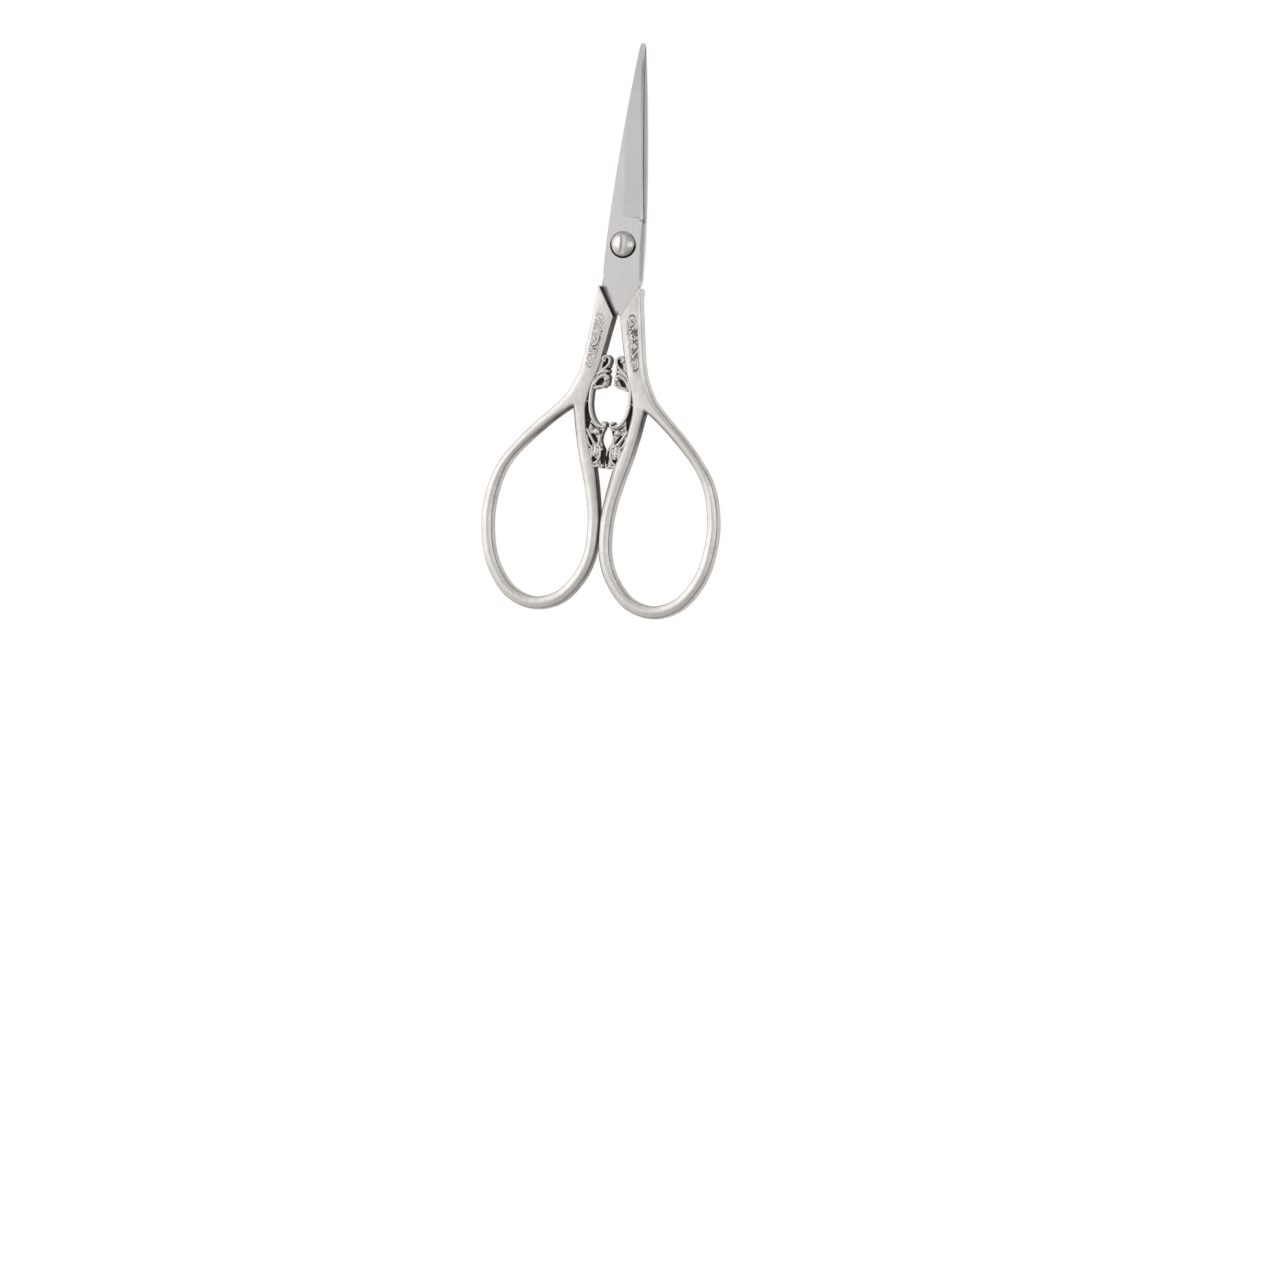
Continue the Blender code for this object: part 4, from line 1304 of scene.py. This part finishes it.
@dataclass
class Blade:
    """A blade: straight back with a small chamfer, ground facet with honed edge, ricasso and pointed heel.

    The spread moves the blade's middle line off the pivot axis, and the heel drop is how far the heel hangs.
    """

    spread: float = -0.25
    heel_drop: float = 6.5

    # Plan and tip.
    reach: float = 40.56
    half_width: float = 3.86
    belly: float = 0.42
    tip_half_width: float = 0.42
    tip_round: float = 1.3
    tip_radius: float = 0.18
    tip_run: float = 0.2
    tip_least: float = 0.01
    tip_steps: tuple[float, ...] = (0.85, 0.7, 0.55, 0.4, 0.28, 0.18, 0.1, 0.04, 0.01, 0.0)
    edge_setback: float = 0.80

    # Section, grind and edge.
    tip_thickness: float = 0.70
    edge_thickness: float = 0.16
    edge_bevel: float = 0.42
    bevel_foot: Point = (0.03, 0.04)
    grind_depth: float = 0.17
    grind_taper: float = 0.5
    grind_start: float = 5.75
    grind_foot: float = 5.35
    root_top: float = 4.6
    grind_share: float = 0.62
    flat_from: float = 9.0
    flat_to: float = 27.0
    chamfer: float = 0.16
    ricasso_step: float = 0.10
    bevel_tint: float = 0.3
    start_run: float = 0.3
    start_steps: int = 24
    length_steps: int = 130
    facet_steps: int = 9
    flat_steps: int = 5

    # The strip of painted shade on the inner face: its width, its most in shares of the blade's half width,
    # and its shade.
    strip: float = 0.85
    strip_most: float = 0.8
    strip_share: float = 0.70
    strip_shade: Place = (0.62, 0.30, 0.22)

    # Heel, and the joint to the handle.
    joint_top: Point = (3.935, -8.99)
    joint_foot: Point = (0.685, -14.47)
    heel_foot: Point = (-0.14, -13.35)
    ricasso_foot: Point = (4.05, -8.55)
    root_low: float = 1.51
    undercut: float = 1.2
    ricasso_corner: float = -7.6
    edge_step: float = 0.1
    heel_step: float = 0.08
    heel_slant: float = 0.18
    heel_rows: Point = (0.9, 1.04)
    root_rows: tuple[Place, ...] = (
        (0.10, 2.2, 0.0), (0.10, 2.4, 0.0), (0.10, 2.2, 0.0), (0.05, 1.0, 1.0), (0.03, 1.0, 1.0),
        (0.05, 1.0, 0.5), (0.05, 1.0, 0.0), (0.04, 1.0, 0.0),
    )
    first_row: Place = (0.02, 1.0, 0.0)
    # Painted shade of the joint gap on each line of the root's border, darkest at the foot of its wall.
    joint_shade_lines: tuple[float, ...] = (0.0, -1.0, -0.45, 0.0, 0.0)
    back_steps: int = 6

    # The screw's hole and recess: radius, height and painted shade of each line, darkest towards the handles.
    recess_shade_levels: Point = (0.25, 0.75)
    recess_shade_span: Point = (-0.35, 0.10)
    hole_points: int = 96
    recess: tuple[Place, ...] = (
        (2.95, 2.75, 0.0), (2.73, 2.75, 0.0), (2.71, 2.73, 0.9), (2.69, 2.53, 1.0), (1.25, 2.53, 1.0),
        (1.25, 1.51, 0.3), (1.60, 1.51, 0.0),
    )
    plain_hole: tuple[Place, ...] = (
        (1.60, 2.75, 0.0), (1.25, 2.75, 0.2), (1.25, 1.51, 0.3), (1.60, 1.51, 0.0),
    )
    crease: float = 8.0

    def sides(self, y: np.ndarray) -> tuple[np.ndarray, np.ndarray]:
        """Where the back and the cutting edge lie beside the pivot axis.

        Half the width falls evenly to the tip's, a shallow arc is added, and the tip is rounded as a quarter
        circle is. The edge lies inside the other blade's back, most so at mid length.

        Args:
            y: Heights above the pivot.

        Returns:
            Distances of back and edge from the axis.
        """
        share = np.clip(y / self.reach, 0.0, 1.0)
        width = self.half_width + (self.tip_half_width - self.half_width) * share
        width = width + 4 * self.belly * share * (1 - share)
        width = width * np.sqrt(1 - np.clip((y - self.reach) / self.tip_round + 1, 0.0, 1.0) ** 2)
        back = width + self.spread
        edge = width - self.spread - 4 * self.edge_setback * share * (1 - share)
        edge = edge - self.ricasso_step * (1 - fade(y, self.grind_foot - self.start_run, self.grind_start))
        tip = self.tip_radius * np.sqrt(np.clip((self.reach - y) / self.tip_run, self.tip_least, 1.0))
        wider = np.maximum(0.0, tip - (back + edge) / 2)
        return back + wider, edge + wider

    def add_ground_length(self, skin: Skin) -> None:
        """Adds the ground length: one section for each height, from the root to the tip.

        Across a section the blade keeps its full thickness from the chamfer to the grind line, thins a little
        over the ground facet, and falls steeply over the edge bevel. The full thickness falls evenly to the
        tip, and the grind line runs out to the back on the way there. Near the back the inner face carries a
        strip of painted shade, for the gap between the blades.

        Args:
            skin: The surface.
        """
        start = self.grind_start + self.start_run
        y = np.concatenate([np.linspace(self.root_top, start, self.start_steps),
                            np.linspace(start, self.reach - self.tip_round, self.length_steps)[1:],
                            self.reach - self.tip_round * np.array(self.tip_steps)])
        back, edge = self.sides(y)
        thickness = BLADE_TOP - BLADE_LOW
        taper = np.clip((y - self.grind_start) / (self.reach - self.grind_start), 0.0, 1.0)
        full = thickness + (self.tip_thickness - thickness) * taper
        ground = fade(y, self.grind_foot, self.grind_start)
        thinned = fade(y, self.grind_foot - 2 * self.start_run, self.grind_start)
        thin = full + (self.edge_thickness - full) * thinned
        worn = full - self.grind_depth * ground * (1 - self.grind_taper * taper)
        # Near the tip the chamfer takes a sixth of the width at most, and the bevel a quarter.
        chamfer = np.minimum(self.chamfer, (back + edge) / 6)
        bevel = np.minimum(self.edge_bevel, (back + edge) / 4)
        kept = (1 - self.grind_share) * (1 - fade(y, self.flat_from, self.flat_to))
        line = -back + chamfer + (edge + back - chamfer) * kept
        share = np.linspace(0.0, 1.0, self.facet_steps)[:, None]
        facet_x = line + (edge - bevel - line) * share
        facet_z = full + (worn - full) * share
        flat = np.linspace(0.0, 1.0, self.flat_steps)[:, None]
        flat_x = (-back + chamfer) + (line + back - chamfer) * 0.98 * flat
        zero = np.zeros_like(y)
        strip = np.minimum(self.strip, self.strip_most * (back + edge) / 2)
        foot_in, foot_up = self.bevel_foot
        x = np.vstack([-back, -back, flat_x, facet_x, edge - foot_in, edge, edge, zero, strip - back,
                       self.strip_share * strip - back])
        z = np.vstack([zero, full - chamfer, np.tile(full, (len(flat), 1)), facet_z, thin + foot_up, thin,
                       zero, zero, zero, zero])
        # Painted shade on the inner face: at the strip's line, at a share of it, and at the back's edge.
        outer, inner, rim = self.strip_shade
        tint = np.vstack([zero - rim, np.zeros((len(flat) + 1, len(y))), np.tile(ground, (len(share), 1)),
                          np.tile(self.bevel_tint * ground, (2, 1)), zero, zero, zero - outer, zero - inner])
        points = np.dstack([x, np.broadcast_to(y, x.shape), BLADE_LOW + z]).transpose(1, 0, 2)
        index = skin.grid(points, tint.T)
        skin.lid(index[0], index[-1])

    def add_root(self, skin: Skin, hole: tuple[Place, ...]) -> None:
        """Adds the root: a plate round the pivot and the heel with a small chamfer, and a turned hole in it.

        Each root row is a border point's chamfer drop, chamfer width over drop, and its share in the joint,
        where the plate is cut back underneath and its wall is painted with shade.

        Args:
            skin: The surface.
            hole: Radius, height and painted shade of each line of the hole, from the outer face in.
        """
        heights = np.linspace(self.root_top, 0.0, self.back_steps)
        back, edge = self.sides(heights)
        heel = self.half_width + self.spread + self.heel_step
        side = list(zip(-back, heights))
        upper, lower = self.heel_rows
        corner = [(-heel, -upper * self.heel_drop), (-heel + self.heel_slant, -lower * self.heel_drop)]
        outline = np.asarray([(edge[0], self.root_top), *side, *corner, self.heel_foot, self.joint_foot,
                              self.joint_top, self.ricasso_foot, (self.ricasso_foot[0], self.ricasso_corner),
                              (edge[0] + self.edge_step, 0.0)])
        normal = left_normals(outline)
        normal[:2] = ((-1.0, 0.0), (1.0, 0.0))
        rows = np.array([self.first_row, *[(self.chamfer, 1.0, 0.0)] * len(side), *self.root_rows])
        cut, widening, dark_share = rows.T[..., None]
        wide = cut * widening
        inner = (outline + normal * dark_share * self.undercut)[None]
        inwards = np.array([0.0, 0.0, 0.5, 1.0])[:, None, None]
        drop = np.array([BLADE_TOP - self.root_low, 1.0, 0.5, 0.0])[:, None] * np.ones((1, len(outline)))
        drop[1:] *= cut[:, 0]
        plan = np.concatenate([inner, outline[None] + normal[None] * inwards * wide[None]])
        # Painted shade of the joint gap, by each border point's share in the joint.
        joint_shade = np.array(self.joint_shade_lines)[:, None] * dark_share[:, 0]
        index = skin.grid(np.dstack([plan, BLADE_TOP - np.vstack([drop[:1], drop])]), joint_shade)
        turn = round_angles(self.hole_points)
        radius, level, painted_shade = np.asarray(hole).T[..., None]
        lathe = np.dstack([radius * np.cos(turn), radius * np.sin(turn), level * np.ones_like(turn)])
        # Painted shade in the hole and recess, darker on the side towards the handles, below the head.
        least, more = self.recess_shade_levels
        ring = skin.grid(lathe, painted_shade * (-least - more * fade(-np.sin(turn), *self.recess_shade_span)))
        skin.cap([index[-1], ring[0]])
        skin.cap([index[0], ring[-1]])

    def build(self, half: Half, material: bpy.types.Material) -> bpy.types.Object:
        """Makes the blade: the front one has the recess for the screw's head.

        Args:
            half: The half of the scissors that it is on.
            material: Its finish.

        Returns:
            The finished piece.
        """
        skin = Skin()
        self.add_ground_length(skin)
        self.add_root(skin, self.recess if half is Half.FRONT else self.plain_hole)
        return skin.piece(f"{half.value}_blade_steel", half, material, GRIND_AND_SHADE, self.crease)


@dataclass
class PivotScrew:
    """The pivot screw: domed head with a driver slot along Y, and a shank down to the tail."""

    # Head and slot.
    head_radius: float = 2.4
    seat: float = 2.58
    rim: float = 0.34
    dome: float = 0.759
    slot_half_width: float = 0.39
    slot_depth: float = 0.48
    slot_reach: Point = (0.01, 0.005)
    # Painted shade in the slot.
    slot_shade: float = 0.18
    lip: float = 0.07
    lip_drop: float = 0.05
    edge_lines: Point = (0.02, 0.03)
    inside: float = 0.99995
    wing_lines: int = 26
    cross_lines: int = 61
    # Painted shade on the head's rim: the shares of the radius it runs over, and its turn towards the
    # handles.
    rim_shade_span: Point = (0.93, 0.985)
    rim_shade_turn: Point = (-0.5, 0.5)

    # Rim, shank and tail.
    shank_radius: float = 1.2
    rim_foot: float = 0.12
    foot_share: float = 0.965
    tail_rise: float = 0.2
    tail_share: float = 0.42
    # Painted shade of the walls under the head, one value for each ring down to the tail.
    wall_shade: tuple[float, ...] = (0.6, 0.95, 1.0, 1.0, 0.3, 0.1)
    crease: float = 35.0

    def dome_height(self, reach: Number) -> Number:
        """Height of the dome, a ball's cap over the rim."""
        ball = (self.head_radius**2 + self.dome**2) / (2 * self.dome)
        return self.seat + self.rim + self.dome - ball + np.sqrt(ball**2 - reach**2)

    def add_head(self, skin: Skin) -> None:
        """Adds the head and the shank under it.

        The head is a grid of lines along Y, each from rim to rim, that drop to the floor in the slot and sink
        a little beside it. The slot is painted with shade, and so is the rim on the side towards the handles.

        Args:
            skin: The surface.
        """
        half, lip, radius = self.slot_half_width, self.lip, self.head_radius
        wing = radius * np.sin(np.linspace(0.0, 1.0, self.wing_lines) * math.pi / 2)
        wing = half + lip + (radius - half - lip) * wing / radius
        out, inwards = self.edge_lines
        slot = [-half - out, -half, -half + inwards, 0.0, half - inwards, half, half + out]
        steps = np.concatenate([-wing[::-1], slot, wing])
        steps = np.clip(steps, -radius * self.inside, radius * self.inside)
        share = np.sin(np.linspace(-1.0, 1.0, self.cross_lines) * math.pi / 2)[None, :]
        x = steps[:, None] * np.ones_like(share)
        y = np.sqrt(radius**2 - steps[:, None] ** 2) * share
        z = self.dome_height(np.minimum(np.hypot(x, y), radius))
        top = self.seat + self.rim + self.dome
        sunk = fade(half + lip - np.abs(x), 0.0, 2.0 * lip) * self.lip_drop
        floor = top - self.slot_depth
        within, beside = self.slot_reach
        z = np.where(np.abs(x) < half - within, np.minimum(z, floor), z - sunk)
        painted_shade = np.where(np.abs(x) < half + beside, self.slot_shade, 0.0)
        near, full = self.rim_shade_span
        rim = fade(np.hypot(x, y), near * radius, full * radius) * fade(-y, *self.rim_shade_turn)
        painted_shade = np.maximum(painted_shade, rim)
        index = skin.grid(np.dstack([x, y, z]), painted_shade, around=False)
        ring = np.concatenate([index[:, -1], index[::-1, 0]])
        places = np.vstack(skin.places)[ring]
        shank = self.shank_radius / radius
        rings = ((1.0, self.seat + self.rim_foot), (self.foot_share, self.seat), (shank, self.seat),
                 (shank, self.tail_rise), (self.tail_share, 0.0))
        walls = [places * np.array([part, part, 0.0]) + np.array([0.0, 0.0, level]) for part, level in rings]
        index = skin.grid(np.stack([places, *walls]), np.array(self.wall_shade)[:, None])
        skin.lid(index[-1])

    def build(self, material: bpy.types.Material) -> bpy.types.Object:
        """Makes the screw.

        Args:
            material: Its finish.

        Returns:
            The finished piece.
        """
        skin = Skin()
        self.add_head(skin)
        return skin.piece("pivot_screw_head_and_shank", Half.FRONT, material, PATINA_AND_SHADE, self.crease)


@dataclass(frozen=True)
class Lamp:
    """A soft square lamp: name, place and length of its sides in metres, power in watts, and aim."""

    name: str
    place: Place
    size: float
    power: float
    aim: Place = (0.0, -0.02, 0.0)

    def hang(self) -> None:
        """Hangs the lamp so that it looks at the scissors."""
        light = bpy.data.lights.new(self.name, "AREA")
        light.shape = "SQUARE"
        light.size = self.size
        light.energy = self.power
        obj = bpy.data.objects.new(self.name, light)
        obj.location = self.place
        obj.rotation_euler = (Vector(self.aim) - Vector(self.place)).to_track_quat("-Z", "Y").to_euler()
        bpy.context.scene.collection.objects.link(obj)


@dataclass
class Studio:
    """White floor, soft light from the upper left, and the camera over the scissors."""

    # Camera: angles in degrees, aim, distance and width of the picture in millimetres, film and clipping.
    tilt: float = 17.0
    roll: float = 4.95
    aim: Point = (3.52, -79.5)
    distance: float = 2500.0
    frame_width: float = 257.0
    sensor: float = 36.0
    clip: Point = (0.05, 20.0)

    # Room.
    sky_high: float = 0.92
    sky_low: float = 0.22
    sky_ends: float = 0.30
    sky_least: float = 0.12
    sky_span: Point = (-0.6, 1.0)
    sky_towards: Place = (-0.82, 0.16, 0.55)

    # Floor, in metres, and lamps.
    floor_reach: tuple[float, ...] = (0.0005, 0.2, 0.6, 1.5, 4.0)
    floor_points: int = 48
    floor_middle: float = -0.03
    floor_level: float = -0.00002
    floor_colours: tuple[Colour, Colour] = ((0.90, 0.90, 0.90, 1.0), (0.92, 0.92, 0.92, 1.0))
    floor_glow: float = 1.09
    floor_white: float = 0.86
    floor_crease: float = 30.0
    lamps: tuple[Lamp, ...] = (
        Lamp("window_lamp", (-1.00, 0.30, 1.05), 1.3, 3.2), Lamp("side_lamp", (0.60, 0.12, 1.05), 0.60, 0.95),
    )

    def floor(self) -> None:
        """Lays the floor: a wide round sheet of rings from the middle out, in metres, white to the camera."""
        turn = round_angles(self.floor_points)
        reach = np.array(self.floor_reach)[:, None]
        points = np.dstack([reach * np.cos(turn), reach * np.sin(turn) + self.floor_middle,
                            np.full((reach.size, turn.size), self.floor_level)])
        skin = Skin()
        index = skin.grid(points / MM)
        skin.lid(index[0])
        sheet = ShaderSheet.material("studio_floor")
        path = sheet.node("LightPath", "Is Camera Ray")
        gloss = sheet.node("LightPath", "Is Glossy Ray")
        cloud = sheet.noise((3.0, 3.0, 3.0), 1.0)
        paper = sheet.node("BsdfDiffuse", inputs={"Color": sheet.blend(cloud, *self.floor_colours)})
        glow = sheet.node("Emission", inputs={"Color": WHITE, "Strength": self.floor_glow})
        sheet.mix((path + gloss).clamped() * self.floor_white, paper, glow, "Material Output")
        floor = skin.piece("studio_floor", Half.FRONT, sheet.owner, PATINA_AND_SHADE, self.floor_crease)

    def sky(self) -> None:
        """Lights the room, with a soft rise in level towards one side, and white to the camera."""
        world = bpy.data.worlds.new("studio_room")
        bpy.context.scene.world = world
        sheet = ShaderSheet(world)
        way = Vector(self.sky_towards).normalized()
        place = sheet.node("TexCoord", "Generated")
        lean = sheet.node("VectorMath", "Value", {"operation": "DOT_PRODUCT"}, {0: place, 1: tuple(way)})
        least, most = self.sky_span
        level = sheet.node("MapRange", inputs={"Value": lean, "From Min": least, "From Max": most,
                                               "To Min": self.sky_low, "To Max": self.sky_high})
        ends = sheet.node("SeparateXYZ", "Y", inputs={"Vector": place})
        level = (level - ends * ends * self.sky_ends).math("MAXIMUM", self.sky_least)
        room = sheet.node("Background", inputs={"Color": WHITE, "Strength": level})
        white = sheet.node("Background", inputs={"Color": WHITE, "Strength": 1.0})
        sheet.mix(sheet.node("LightPath", "Is Camera Ray"), room, white, "World Output")

    def camera(self) -> None:
        """Sets the camera far off, tilted towards +X and rolled, so that the view is nearly parallel."""
        tilt, roll = math.radians(self.tilt), math.radians(self.roll)
        level = Vector((math.cos(tilt), 0.0, -math.sin(tilt)))
        back = Vector((math.sin(tilt), 0.0, math.cos(tilt)))
        north = Vector((0.0, 1.0, 0.0))
        right = level * math.cos(roll) + north * math.sin(roll)
        upward = north * math.cos(roll) - level * math.sin(roll)
        target = Vector((0.0, 0.0, MIDDLE)) + right * self.aim[0] + upward * self.aim[1]
        turn = Matrix((right, upward, back)).transposed().to_4x4()
        lens = bpy.data.cameras.new("photo_camera")
        lens.sensor_width = self.sensor
        lens.lens = self.sensor * self.distance / self.frame_width
        lens.clip_start, lens.clip_end = self.clip
        obj = bpy.data.objects.new("photo_camera", lens)
        obj.matrix_world = Matrix.Translation((target + back * self.distance) * MM) @ turn
        bpy.context.scene.collection.objects.link(obj)
        bpy.context.scene.camera = obj

    def build(self) -> None:
        """Sets up floor, room, lamps and camera."""
        self.floor()
        self.sky()
        for lamp in self.lamps:
            lamp.hang()
        self.camera()
        bpy.context.scene.view_settings.view_transform = "Standard"


def declare(piece: bpy.types.Object, body: str, nodes: tuple[str, ...] = ()) -> None:
    """Tells the frame what a piece rides on and what it replaces.

    Args:
        piece: The piece.
        body: Body it rides on.
        nodes: Nodes of the frame it takes the place of.
    """
    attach(piece, body)
    if nodes:
        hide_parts(*nodes)
    logging.info("%s rides on %s with %d faces", piece.name, body, len(piece.data.polygons))


def main() -> None:
    """Builds the scissors piece by piece, then the studio."""
    logging.basicConfig(level=logging.INFO, format="%(message)s")
    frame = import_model()
    logging.info("frame loaded: %s", type(frame).__name__)
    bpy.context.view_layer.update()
    nickel = SatinNickel().build()
    steel = BrushedSteel().build()
    polished = PolishedNickel().build()
    blades = {Half.FRONT: Blade(), Half.REAR: Blade(spread=0.25, heel_drop=7.4)}
    castings = {Half.FRONT: HandleCasting(Ornament.LEAF_VINE, lightened=0.15),
                Half.REAR: HandleCasting(Ornament.CURLED_VINE, lightened=0.80)}
    scrolls = {Half.FRONT: ScrollWork(openness=0.82), Half.REAR: ScrollWork(openness=1.05)}
    for half in Half:
        declare(blades[half].build(half, steel), half.body, (f"{half.value}_blade",))
        declare(castings[half].build(half, nickel), half.body, (f"{half.value}_handle",))
        declare(scrolls[half].build(half, nickel), half.body)
    declare(PivotScrew().build(polished), Half.REAR.body, ("pivot_screw",))
    Studio().build()


if __name__ == "__main__":
    main()
